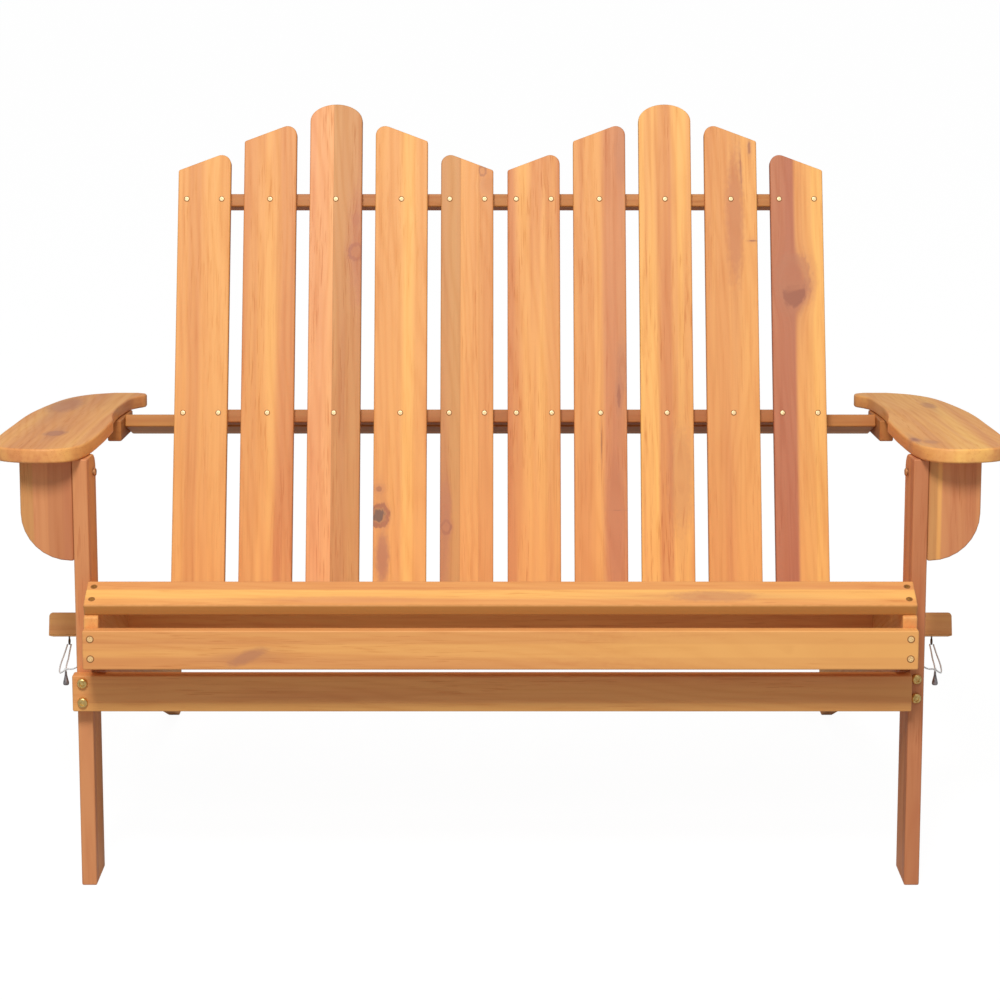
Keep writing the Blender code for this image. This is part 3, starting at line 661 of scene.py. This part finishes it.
SLATS = [
    dict(staves=("honey", -0.021, "amber", -0.004, "honey"), blush=0.35, dashes=0.35,
         soft=0.003),
    dict(staves=("amber", -0.014, "honey", 0.010, "amber"), blush=0.9, soft=0.004),
    dict(staves=("peach", -0.003, "tan"), dashes=0.8, soft=0.0006, glue=0.10, knots=[
        mark(0.4715, 0.0285, 0.0092, 1.2, 0.4, ring=0.9),
        mark(0.517, 0.0285, 0.0042, 1.8, 0.7),
        mark(0.475, 0.037, 0.013, 5.5, 0.7, halo_tone="plum")]),
    dict(staves=("honey", 0.002, "gold", 0.019, "honey"), blush=0.35, dashes=0.25, soft=0.004,
         knots=[mark(0.109, -0.028, 0.0125, 1.15, 0.25, core=0.95, core_tone="ember", ring=0.75),
                mark(0.145, -0.028, 0.006, 1.0, 0.35, core=0.5),
                mark(0.052, -0.023, 0.0065, 4.0, 0.85)]),
    dict(staves=("tan", -0.009, "honey", 0.016, "amber"), blush=0.5, soft=0.0012, glue=0.15,
         knots=[mark(0.585, 0.021, 0.0045, 1.5, 0.3, ring=0.45),
                mark(0.5635, 0.031, 0.012, 0.9, 0.25),
                mark(0.093, -0.0275, 0.0062, 1.45, 0.4, ring=0.75, core=0.2, core_tone="stain"),
                mark(0.125, -0.0285, 0.0055, 4.5, 0.55),
                mark(0.075, -0.036, 0.010, 7.0, 0.5)]),
    dict(staves=("amber", -0.024, "honey", 0.016, "amber"), blush=1.0, dashes=0.7, soft=0.006),
    dict(staves=("amber", -0.021, "honey", 0.004, "rose"), blush=0.6, dashes=0.5, soft=0.006,
         knots=[mark(0.272, 0.025, 0.0035, 6.0, 0.6, core=0.6),
                mark(0.205, 0.001, 0.0011, 26.0, 0.35, core=0.6, core_tone="umber"),
                mark(0.116, 0.022, 0.0075, 0.10, 0.2, core=0.45),
                mark(0.313, 0.030, 0.006, 5.0, 0.5),
                mark(0.610, 0.031, 0.007, 5.0, 0.45),
                mark(0.110, 0.020, 0.010, 7.0, 0.35)]),
    dict(staves=("gold", -0.011, "amber", 0.008, "gold"), blush=0.9, dashes=0.8, soft=0.003,
         knots=[mark(0.160, 0.018, 0.012, 5.0, 0.4)]),
    dict(staves=("amber", -0.004, "honey"), blush=0.5, dashes=0.5, soft=0.002,
         knots=[mark(0.520, 0.005, 0.0085, 8.5, 0.85, halo_tone="russet"),
                mark(0.487, 0.029, 0.008, 0.17, 0.35, core=0.7),
                mark(0.618, 0.026, 0.0028, 5.0, 0.3, core=0.6),
                mark(0.585, 0.012, 0.0020, 16.0, 0.3, core=0.45)]),
    dict(staves=("plum", -0.004, "honey", 0.020, "gold"), blush=0.5, dashes=0.5, soft=0.003,
         bowed=True,
         knots=[mark(0.434, -0.007, 0.021, 1.5, 0.4, ring=0.42, ring_tone="stain"),
                mark(0.408, -0.006, 0.0125, 1.6, 0.6, lean=-0.4, core=0.7)]),
]


def on_tip(edge):
    """An edge of the flat between the two rounds of a tall tip."""
    one, other = (v.co for v in edge.verts)
    high = min((one - BACK_PIVOT).dot(UP_BACK), (other - BACK_PIVOT).dot(UP_BACK)) > TIP_START
    return high and abs(one.x - other.x) > TIP_WIDE


def arched_tip(points):
    """Heights over the start of the rounds are scaled to the ellipse R * sqrt(1 - (x / half)^2)."""
    x_low, x_high = points[:, 0].min(), points[:, 0].max()
    half = (x_high - x_low) / 2
    off = np.abs(points[:, 0] - (x_low + x_high) / 2)
    height = (points - np.array(BACK_PIVOT)) @ np.array(UP_BACK)
    start = height.max() - TIP_ROUND
    beside = np.clip((off - half) / TIP_ROUND + 1, 0, 1)
    arc, ellipse = (np.sqrt(np.clip(1 - a ** 2, 1e-9, 1)) for a in (beside, off / half))
    share = np.clip(ellipse / arc, math.sqrt(TIP_ROUND / half), 1)
    lift = np.maximum(height - start, 0) * (share - 1)
    return points + lift[:, None] * np.array(UP_BACK)


for number, look in enumerate(SLATS, 1):
    node = f"back_slat_{number:02d}"
    origin = BACK_PIVOT + Vector((middle_of(node).x, 0.0, 0.0))
    finish = wood("wood_" + node, UP_BACK, (1, 0, 0), origin, seed=0.6 + 1.7 * number, **look)
    planed(node, finish, *((arched_tip, on_tip) if number in TALL_SLATS else ()))
print("back slats planed:", len(SLATS))

# %% [markdown]
# Seat, apron and battens run from side to side, the legs and brackets stand upright, and the
# rails slope down to the floor behind. The table gives each one its direction and tones.

# %% The other boards
RAIL_DEGREES = 20.5
ARM_SLOPE = math.radians(3.3)
FRONT_EASE = 0.0006
ACROSS_X, UPWARD, BACKWARD = (1, 0, 0), (0, 0, 1), (0, 1, 0)
DOWN_RAIL, UP_RAIL = slope(math.radians(RAIL_DEGREES))
ALONG_ARM = slope(ARM_SLOPE)[0]
NOSE_IN, NOSE_UP = slope(math.radians(-25.0))
BOARDS = {
    "front_slat": (ACROSS_X, UPWARD, ("amber", -0.009, "honey", 0.008, "amber"),
                   [mark(-0.305, -0.008, 0.008, 1.5, 0.85, lean=-1.4),
                    mark(0.47, 0.0, 0.030, 10.0, 0.35, halo_tone="gold")]),
    "nose_slat": (ACROSS_X, NOSE_IN, ("honey", -0.010, "gold", 0.007, "amber"),
                  [mark(0.258, -0.006, 0.007, 6.0, 0.6),
                   mark(-0.19, -0.012, 0.0045, 16.0, 0.5, halo_tone="rose"),
                   # Painted shade: a dark band along the whole lower front edge of the nose slat,
                   # where its edge faces down.
                   mark(0.0, -0.0256, 0.0026, 400.0, 1.0, halo_tone="hazel")]),
    "apron": (ACROSS_X, UPWARD, ("honey", -0.012, "amber", 0.008, "amber"), ()),
    # The bar takes the palest tone, painted light that makes up for the shade the arms and brackets
    # cast on it.
    "cross_bar": (ACROSS_X, UP_RAIL, ("painted_light_straw",), ()),
    "upper_batten": (ACROSS_X, INTO_BACK, ("hazel", 0.006, "amber"), ()),
    "lower_batten": (ACROSS_X, INTO_BACK, ("chestnut", 0.006, "hazel"), ()),
    "arm_support": (ACROSS_X, INTO_BACK, ("hazel", 0.010, "tan"), ()),
    "hinge_bar": (ACROSS_X, INTO_BACK, ("amber",), ()),
}
SEAT_SLATS = [("honey", 0.004, "amber"), ("amber", -0.006, "honey"), ("gold", 0.006, "honey"),
              ("rose", 0.0, "amber"), ("honey", -0.010, "tan")]


def seat_axes(number):
    """Directions across and out of a seat slat; each lies a degree flatter than the last."""
    return slope(math.radians(RAIL_DEGREES - (number - 1)))


for number, staves in enumerate(SEAT_SLATS, 1):
    BOARDS[f"seat_slat_{number}"] = (ACROSS_X, seat_axes(number)[0], staves, ())
for side, word in SIDES:
    leg = ("rose", -0.018, "amber", 0.018, "tan") if side < 0 else ("russet", -0.014, "rose")
    BOARDS["leg_" + word] = (UPWARD, BACKWARD, leg, ())
    BOARDS["side_rail_" + word] = (DOWN_RAIL, UP_RAIL, ("amber", 0.0, "honey", 0.05, "tan"), ())
    bracket = ("tan", -0.016, "rose", 0.002, "russet") if side < 0 else (
        "tan", -0.021, "honey", -0.016, "rose")
    BOARDS["bracket_" + word] = (UPWARD, ACROSS_X, bracket, ())
    BOARDS["front_cleat_" + word] = (ALONG_ARM, UPWARD, ("tan",), ())
    # The rear cleat's dark tone is painted shade, for the shadow of the arm above it.
    BOARDS["rear_cleat_" + word] = (ALONG_ARM, UPWARD, ("chestnut",), ())


def eased_front(points):
    """A little planed off the front face: no depth is less than the least one and FRONT_EASE."""
    points[:, 1] = np.maximum(points[:, 1], points[:, 1].min() + FRONT_EASE)
    return points


def tilted(y, z):
    """A point of the bar's section turned about the bar's middle, y * cos + z * sin and so on."""
    y, z = y - BAR_MIDDLE.y, z - BAR_MIDDLE.z
    return (BAR_MIDDLE.y + y * math.cos(BAR_TILT) + z * math.sin(BAR_TILT),
            BAR_MIDDLE.z - y * math.sin(BAR_TILT) + z * math.cos(BAR_TILT))


def tilted_notch(points):
    """The notch's walls lean with the bar, and their upper ends slide along the seat's bed."""
    lean = math.tan(BAR_TILT)
    low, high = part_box("cross_bar")
    for wall in (low.y - NOTCH_GAP, high.y + NOTCH_GAP):
        corner_y, corner_z = tilted(wall, low.z - NOTCH_GAP)
        at_wall = (np.abs(points[:, 1] - wall) < 0.0001) & (points[:, 2] > low.z - 2 * NOTCH_GAP)
        foot = at_wall & (points[:, 2] < low.z)
        top = at_wall & ~foot
        y, z = points[top, 1], points[top, 2]
        moved = (corner_y + (z + y * lean - corner_z) * lean) / (1 + lean ** 2)
        points[top, 1], points[top, 2] = moved, z - (moved - y) * lean
        points[foot, 1], points[foot, 2] = corner_y, corner_z
        print("notch wall", round(wall, 4), "points", int(top.sum()), int(foot.sum()))
    return points


BAR_TILT = math.radians(17.1)
BAR_MIDDLE = middle_of("cross_bar")
NOTCH_GAP = 0.0003
RESHAPED = {"front_slat": eased_front, "side_rail_left": tilted_notch,
            "side_rail_right": tilted_notch}
finishes = {}
for number, (node, (along, across, staves, knots)) in enumerate(BOARDS.items()):
    finishes[node] = wood("wood_" + node, along, across, middle_of(node), staves,
                          40.1 + 2.9 * number, knots)
    if node != "cross_bar":
        planed(node, finishes[node], RESHAPED.get(node))
print("other boards planed:", len(BOARDS) - 1)

# %% [markdown]
# ## Arm rests
# The arms are the shaped boards of the bench: full outside, waisted inside and narrow at the
# tail. Their edges are rounded over more than the others. The outline is one closed smooth
# curve, and the edge is a quarter circle at the top and the bottom, carried round it.

# %% Arms
ARM_THICKNESS = 0.0175
ARM_UNDER_H = 0.562 - ARM_THICKNESS / math.cos(ARM_SLOPE)
ARM_ROUND = 0.0028
CAP_INSET = 0.0006        # how far a slab's first and last rings lie inside its flat faces
WAIST = (0.508, 0.247)
ARM_OUTSIDE = [WAIST, (0.506, 0.137), (0.509, 0.023), (0.524, -0.025), (0.560, -0.038),
               (0.600, -0.026), (0.620, 0.004), (0.629, 0.070), (0.6309, 0.200), (0.629, 0.330),
               (0.611, 0.470), (0.585, 0.530), (0.550, 0.556)]
ARM_INSIDE = [(0.515, 0.556), (0.503, 0.546), (0.501, 0.527), (0.509, 0.511), (0.517, 0.488),
              (0.520, 0.440), (0.5215, 0.385), (0.518, 0.315), WAIST]
ARM_LOOKS = {
    "left": (("honey", -0.600, "amber", -0.545, "honey"), [
        mark(0.405 - MIDDLE_Y, -0.596, 0.016, 4.0, 0.75),
        mark(0.111 - MIDDLE_Y, -0.562, 0.0095, 2.2, 0.9, ring=0.15)]),
    "right": (("honey", 0.548, "gold", 0.596, "honey"), [
        mark(0.050 - MIDDLE_Y, 0.514, 0.0055, 3.0, 0.9, core=0.5),
        mark(0.030 - MIDDLE_Y, 0.530, 0.007, 2.0, 0.6),
        mark(0.404 - MIDDLE_Y, 0.586, 0.006, 4.5, 0.7)]),
}


def rounded_slab(name, outline, thickness, radius, place):
    """A slab: each row of the grid is the outline moved inwards by r * (1 - sin t).

    place(x, y, height) turns outline coordinates and height over the underside into space.
    """
    behind = outline - np.roll(outline, 1, axis=0)
    tangent = unit(unit(np.roll(outline, -1, axis=0) - outline) + unit(behind))
    inward = np.stack([-tangent[:, 1], tangent[:, 0]], axis=1)
    x, y = outline.T
    if np.sum(x * np.roll(y, -1) - np.roll(x, -1) * y) < 0:
        inward = -inward
    t = np.linspace(0.0, math.pi / 2, 5)
    inset = np.concatenate([[radius + CAP_INSET], radius * (1 - np.sin(t))])
    level = np.concatenate([[0.0], radius * (1 - np.cos(t))])
    inset = np.concatenate([inset, inset[::-1]])
    level = np.concatenate([level, thickness - level[::-1]])
    flat_points = outline[None, :, :] + inward[None, :, :] * inset[:, None, None]
    levels = np.repeat(level[:, None], len(outline), axis=1)
    return grid_piece(name, place(flat_points[..., 0], flat_points[..., 1], levels), 60.0)


for side, word in SIDES:
    outline = np.vstack([smooth_path(ARM_OUTSIDE, 9), smooth_path(ARM_INSIDE, 9)[:-1]])

    def place(x, y, height, side=side):
        run, rise = math.cos(ARM_SLOPE), math.sin(ARM_SLOPE)
        return np.stack([side * x, y * run + height * rise - MIDDLE_Y,
                         ARM_UNDER_H - y * rise + height * run], axis=-1)

    node = "arm_" + word
    staves, knots = ARM_LOOKS[word]
    finish = wood("wood_" + node, ALONG_ARM, ACROSS_X, (0, 0, ARM_UNDER_H), staves,
                  91.7 + 3.1 * side, knots, blush=0.8, soft=0.008)
    arm = rounded_slab("arm_rest_" + word, outline, ARM_THICKNESS, ARM_ROUND, place)
    dress(arm, node, finish)
    print(arm.name, "faces", len(arm.data.polygons))

# %% [markdown]
# ## The cross bar
# The bar lies under the seat in a notch of each rail. The photograph shows none of its top, so
# it lies at the slope of the seat, and the top corners of its ends are rounded. It is a slab
# like the arms: its front outline, carried through its depth, and then turned about its middle.

# %% Cross bar
BAR_HIGH_ROUND, BAR_LOW_ROUND, BAR_EDGE_ROUND = 0.0050, 0.0012, 0.0012


def round_cornered(half, low, high, low_round, high_round):
    """A closed rectangle: a corner's points are centre + r * (cos t, sin t), a quarter turn."""
    t = np.linspace(0.0, math.pi / 2, 6)
    corners = ((half, high, 1, 1, high_round), (-half, high, -1, 1, high_round),
               (-half, low, -1, -1, low_round), (half, low, 1, -1, low_round))
    arcs = []
    for quarter, (x, z, right, up, r) in enumerate(corners):
        angle = t + quarter * math.pi / 2
        arcs.append(np.array([x - right * r, z - up * r])
                    + r * np.stack([np.cos(angle), np.sin(angle)], axis=1))
    return np.vstack(arcs)


low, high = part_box("cross_bar")
outline = round_cornered(high.x, low.z, high.z, BAR_LOW_ROUND, BAR_HIGH_ROUND)
bar = rounded_slab("cross_bar_set", outline, high.y - low.y, BAR_EDGE_ROUND,
                   lambda x, z, depth: np.stack([x, *tilted(low.y + depth, z)], axis=-1))
dress(bar, "cross_bar", finishes["cross_bar"])
print(bar.name, "tilt", round(math.degrees(BAR_TILT), 1), "faces", len(bar.data.polygons))

# %% [markdown]
# ## Bolts
# The hinges turn on brass bolts with low domed heads and a hexagon socket. A bolt is a turned
# piece: its profile runs up the socket, over the dome, down the shank and round the nut. In
# the socket the radius follows a hexagon, a / cos(t) between its corners.

# %% Bolts
HINGE_HEAD, HINGE_SHANK, HINGE_NUT = (0.0058, 0.0038), 0.0034, (0.0060, 0.0035)
LOW_HEAD = (0.0052, 0.0028)
APRON_HEAD, APRON_SHANK = (0.0066, 0.0042), 0.0027


def hexagon(t):
    """Radius of a regular hexagon whose flats lie at 1, at angle t."""
    return 1 / np.cos((t + math.pi / 6) % (math.pi / 3) - math.pi / 6)


def socket_bolt(node, direction, head, shank, nut=None, finish=BRASS):
    """A bolt whose head starts at the CAD bolt's near end and whose tip is at its far end.

    head and nut are pairs of radius and height; the first four rows are the hexagon socket.
    """
    axis = Vector(direction)
    low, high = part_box(node)
    length = abs((high - low).dot(axis))
    start = (low + high) / 2 - axis * length / 2
    head_radius, head_height = head
    socket, depth = 0.48 * head_radius, 0.55 * head_height
    t = np.linspace(0.0, math.pi / 2, 7)
    rows = [(0.0002, depth), (socket * 0.98, depth), (socket, depth * 0.92), (socket, 0.0),
            (socket * 1.10, 0.0)]
    dome = np.stack([socket * 1.1 + (head_radius - socket * 1.1) * np.sin(t),
                     head_height * 0.85 * (1 - np.cos(t))], axis=1)
    rows += dome[1:].tolist() + [(head_radius, head_height), (shank, head_height)]
    hexagon_rows = [0, 1, 2, 3]
    if nut:
        nut_radius, nut_height = nut
        flats = nut_radius * math.cos(math.pi / 6)
        hexagon_rows += [len(rows) + 1, len(rows) + 2]
        rows += [(shank, length - nut_height), (flats, length - nut_height),
                 (flats, length - 0.0006), (flats * 0.93, length)]
    else:
        rows += [(shank, length - 0.0008)]
    rows += [(shank * 0.8, length), (0.0002, length)]
    item = turned("detailed_" + node, rows, start, axis, 48,
                  lambda row, t: np.where(np.isin(row, hexagon_rows), hexagon(t), 1.0))
    dress(item, node, finish)


for side, word in SIDES:
    inward = (-side, 0, 0)
    socket_bolt("leg_bolt_" + word, inward, HINGE_HEAD, HINGE_SHANK, HINGE_NUT)
    # The arm bolts take the darker brass, painted shade.
    socket_bolt("arm_bolt_" + word, (side, 0, 0), LOW_HEAD, HINGE_SHANK, HINGE_NUT, PAINTED_SHADE_BRASS)
    socket_bolt("back_bolt_" + word, inward, HINGE_HEAD, HINGE_SHANK)
    socket_bolt("rear_bolt_" + word, inward, HINGE_HEAD, HINGE_SHANK)
    for level in ("low", "high"):
        socket_bolt(f"apron_bolt_{word}_{level}", (0, 1, 0), APRON_HEAD, APRON_SHANK)
print("bolts: 12")

# %% [markdown]
# ## Screws
# Pale brass wood screws hold the slats: their heads show on the front of the back, on the
# seat and on the front boards. A head is a low dome with a cross recess, made by pulling its
# middle down along two crossing lines. Round it runs a narrow, nearly flat rim painted dark
# brown: painted shade, standing in for the shadow in the countersink.

# %% Screws in the back
SCREW_RADIUS = 0.0038
# Past the second share the screw's rim takes the painted countersink shade.
DOME_SHARE, SHADE_RIM_SHARE = 0.75, 0.70      # of the radius: the dome's end, the dark rim's start
BASE_HEIGHT, DOME_HEIGHT = 0.0001, 0.0003
RECESS_WIDTH, RECESS_REACH = 0.11, 0.5   # of the radius
SLAT_FRONT = 0.0295                      # from the back's pivot to the slats' front faces
BATTEN_ROWS = (0.5457, 0.2490)
PAIR_OFFSET = 0.024
screws = []


def screw(kind, place, normal, body, radius=SCREW_RADIUS, finish=PALE_BRASS):
    """Height = 0.1 mm + dome - recess inside 3/4 of the radius; the rest slopes to the wood."""
    first, second, axis = basis(normal)
    place = np.asarray(place, float)
    rings, segments = 11, 40
    r = np.linspace(0.0, 1.0, rings + 1)[1:, None]
    t = (2 * np.pi * np.arange(segments) / segments)[None, :]
    turn = 0.7 * len(screws)
    x, y = r * np.cos(t + turn), r * np.sin(t + turn)
    valley = [np.exp(-(a / RECESS_WIDTH) ** 4) * (np.abs(b) < RECESS_REACH)
              for a, b in ((x, y), (y, x))]
    dome = (BASE_HEIGHT + DOME_HEIGHT * (1 - (r / DOME_SHARE) ** 2)
            - DOME_HEIGHT * np.clip(sum(valley), 0, 1))
    height = np.where(r > DOME_SHARE, 0.00005 + 0.00014 * (1 - r), dome)
    points = place + radius * r[..., None] * circle(first, second, t) + axis * height[..., None]
    points = np.vstack([points.reshape(-1, 3), place + axis * BASE_HEIGHT])
    centre, last = rings * segments, (rings - 1) * segments
    faces = grid_faces(rings, segments)
    faces += [[centre, i, (i + 1) % segments] for i in range(segments)]
    faces.append(list(range(last, last + segments))[::-1])
    item = closed_piece(f"screw_{kind}_{len(screws)}", points, faces, 35.0)
    item.data.materials.append(finish)
    # The rim's faces take the dark brown of the painted countersink shade.
    item.data.materials.append(COUNTERSINK_SHADE)
    reach = np.linalg.norm(points - place, axis=1) / radius
    for face in item.data.polygons:
        face.material_index = int(min(reach[i] for i in face.vertices) > SHADE_RIM_SHARE)
    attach(item, body)
    screws.append(item)


front_of_slat = BACK_PIVOT - INTO_BACK * SLAT_FRONT
for number in range(1, len(SLATS) + 1):
    x = middle_of(f"back_slat_{number:02d}").x
    spots = (-PAIR_OFFSET, PAIR_OFFSET) if number % 5 in (0, 1) else (0.0,)
    for along in BATTEN_ROWS:
        for offset in spots:
            place = front_of_slat + UP_BACK * along + Vector((x + offset, 0, 0))
            screw("back", place, -INTO_BACK, "back")
print("screws in the back:", len(screws))

# %% [markdown]
# Two more screws hold each end of the front slat, the nose slat and the seat slats to a rail.
# A seat slat lies aslope, so its thickness t comes from its box and its slope a: the depth is
# d = w cos a + t sin a and the height is h = w sin a + t cos a, which together give
# t = (h cos a - d sin a) / (cos a * cos a - sin a * sin a).

# %% Screws in the front boards and the seat
RAIL_X, NOSE_X = 0.4955, 0.4960
FRONT_HEIGHTS, FRONT_RADIUS = (0.3140, 0.3385), 0.0047
NOSE_SPOTS, NOSE_RADIUS = (0.0125, 0.0365), 0.0042
SEAT_SPOTS = (-0.018, 0.018)
NOSE_THICK = 0.0153
NOSE_TOP = Vector((0.0, -0.0130 - MIDDLE_Y, 0.3836)) + NOSE_UP * NOSE_THICK
for side, word in SIDES:
    for height in FRONT_HEIGHTS:
        place = (side * RAIL_X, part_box("front_slat")[0].y + FRONT_EASE, height)
        screw("front", place, (0, -1, 0), "seat_frame", FRONT_RADIUS, WARM_BRASS)
    for along in NOSE_SPOTS:
        place = NOSE_TOP - NOSE_IN * along + Vector((side * NOSE_X, 0, 0))
        screw("nose", place, NOSE_UP, "seat_frame", NOSE_RADIUS, DULL_BRASS)
    for number in range(1, len(SEAT_SLATS) + 1):
        low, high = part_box(f"seat_slat_{number}")
        across, out = seat_axes(number)
        deep, tall = high.y - low.y, high.z - low.z
        thickness = (tall * out.z - deep * out.y) / (out.z ** 2 - out.y ** 2)
        top = (low + high) / 2 + out * thickness / 2
        for offset in SEAT_SPOTS:
            place = top + across * offset + Vector((side * RAIL_X - top.x, 0, 0))
            screw("seat", place, out, "seat_frame")
        print("seat slat", number, "thickness", round(thickness, 5))
print("screws:", len(screws))

# %% [markdown]
# ## Eyes, knots and pegs
# A screw eye is one bent wire: a straight shank in the bar and most of a circle below it. The
# knot is a small ball wound in three turns. The peg is a turned teardrop.

# %% Eyes, knots and pegs
EYE_X, EYE_Y = 0.567, 0.213
EYE_WIRE, EYE_RING, EYE_NECK = 0.0011, 0.0034, 0.0078
KNOT_RADIUS = 0.0021
PEG_RADIUS = 0.0039
PEG_SHAPE = [(0.16, 0.0), (0.34, 0.02), (0.36, 0.10), (0.38, 0.20), (0.46, 0.32), (0.62, 0.48),
             (0.80, 0.64), (0.94, 0.76), (1.0, 0.86), (0.96, 0.93), (0.80, 0.98), (0.4, 1.0)]

for side, word in SIDES:
    low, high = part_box("eye_" + word)
    centre = np.array([side * EYE_X, EYE_Y - MIDDLE_Y, low.z + EYE_WIRE + EYE_RING])
    shank = centre + np.outer(np.linspace(high.z - centre[2], EYE_NECK, 6), (0, 0, 1))
    turn = 2 * np.pi * 0.86 * np.linspace(0.0, 1.0, 40)
    loop = centre + EYE_RING * np.stack([0 * turn, -np.sin(turn), np.cos(turn)], axis=1)
    eye = tube("screw_eye_" + word, np.vstack([shank, loop]), EYE_WIRE, 16)
    dress(eye, "eye_" + word, STEEL)

    low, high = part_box("knot_" + word)
    t = np.linspace(0.02, math.pi - 0.02, 22)
    ball = KNOT_RADIUS * np.stack([np.sin(t), 1 - np.cos(t)], axis=1)
    start = ((low.x + high.x) / 2, (low.y + high.y) / 2, low.z)
    knot = turned("tied_knot_" + word, ball, start, (0, 0, 1), 36,
                  lambda row, t: 0.93 + 0.07 * np.cos(3 * t + row * 0.75))
    dress(knot, "knot_" + word, CORD)

    low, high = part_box("peg_" + word)
    shape = [(PEG_RADIUS * r, (high.z - low.z) * d) for r, d in PEG_SHAPE]
    start = ((low.x + high.x) / 2, (low.y + high.y) / 2, high.z)
    peg = dress(turned("locking_peg_" + word, shape, start, (0, 0, -1), 36), "peg_" + word,
                GREY_STEEL)
    for name in ROUTES:
        strands, path, length = cords[name, word]
        strands.data.materials.append(CORD)
print("eyes, knots and pegs ready")

# %% [markdown]
# ## The studio
# The floor is a wide pale plane under a white sky, with one large soft lamp above and in
# front, so shadows are faint, as in a catalogue picture. The camera sees the floor glow almost
# white, while the bench gets only the light that a mid grey sends back.

# %% Floor, sky and lamps
FLOOR_HALF = 60.0
FLOOR_BOUNCE = 0.50
FLOOR_SEEN = 0.95
GLOW_SHARE, GLOW_STRENGTH = 0.92, 1.045
SKY_LIGHT = 0.42
KEY_PLACE, KEY_TARGET = Vector((-0.4, -3.44, 3.94)), Vector((0.0, 0.0, 0.5))
KEY_SIZE, KEY_POWER = 1.3, 162.0

corners = [(x * FLOOR_HALF, y * FLOOR_HALF, 0) for x, y in ((-1, -1), (1, -1), (1, 1), (-1, 1))]
floor_mesh = bpy.data.meshes.new("floor")
floor_mesh.from_pydata(corners, [], [(0, 1, 2, 3)])
floor = placed("floor", floor_mesh)
floor_finish = bpy.data.materials.new("pale floor")
floor_finish.use_nodes = True
net = Wiring(floor_finish.node_tree)
grey, white = (net.node("ShaderNodeBsdfDiffuse", (shade, shade, shade, 1.0)).outputs[0]
               for shade in (FLOOR_BOUNCE, FLOOR_SEEN))
glow = net.fill(net.node("ShaderNodeEmission"), Strength=GLOW_STRENGTH).outputs[0]
shown = net.node("ShaderNodeMixShader", GLOW_SHARE, white, glow).outputs[0]
seen = net.node("ShaderNodeLightPath").outputs["Is Camera Ray"]
chosen = net.node("ShaderNodeMixShader", seen, grey, shown).outputs[0]
net.fill(floor_finish.node_tree.nodes["Material Output"], Surface=chosen)
floor_mesh.materials.append(floor_finish)

world = bpy.data.worlds.new("sky")
world.use_nodes = True
net = Wiring(world.node_tree)
seen = net.node("ShaderNodeLightPath").outputs["Is Camera Ray"]
net.fill(world.node_tree.nodes["Background"], Color=(1.0, 1.0, 1.0, 1.0),
         Strength=net.span(seen, 0.0, 1.0, SKY_LIGHT, 1.0))
scene.world = world

key_data = bpy.data.lights.new("key", "AREA")
key_data.shape = "DISK"
key_data.size = KEY_SIZE
key_data.energy = KEY_POWER
key = placed("key", key_data)
key.location = KEY_PLACE
key.rotation_euler = (KEY_TARGET - KEY_PLACE).to_track_quat("-Z", "Y").to_euler()
scene.view_settings.view_transform = "Standard"
print("studio ready")
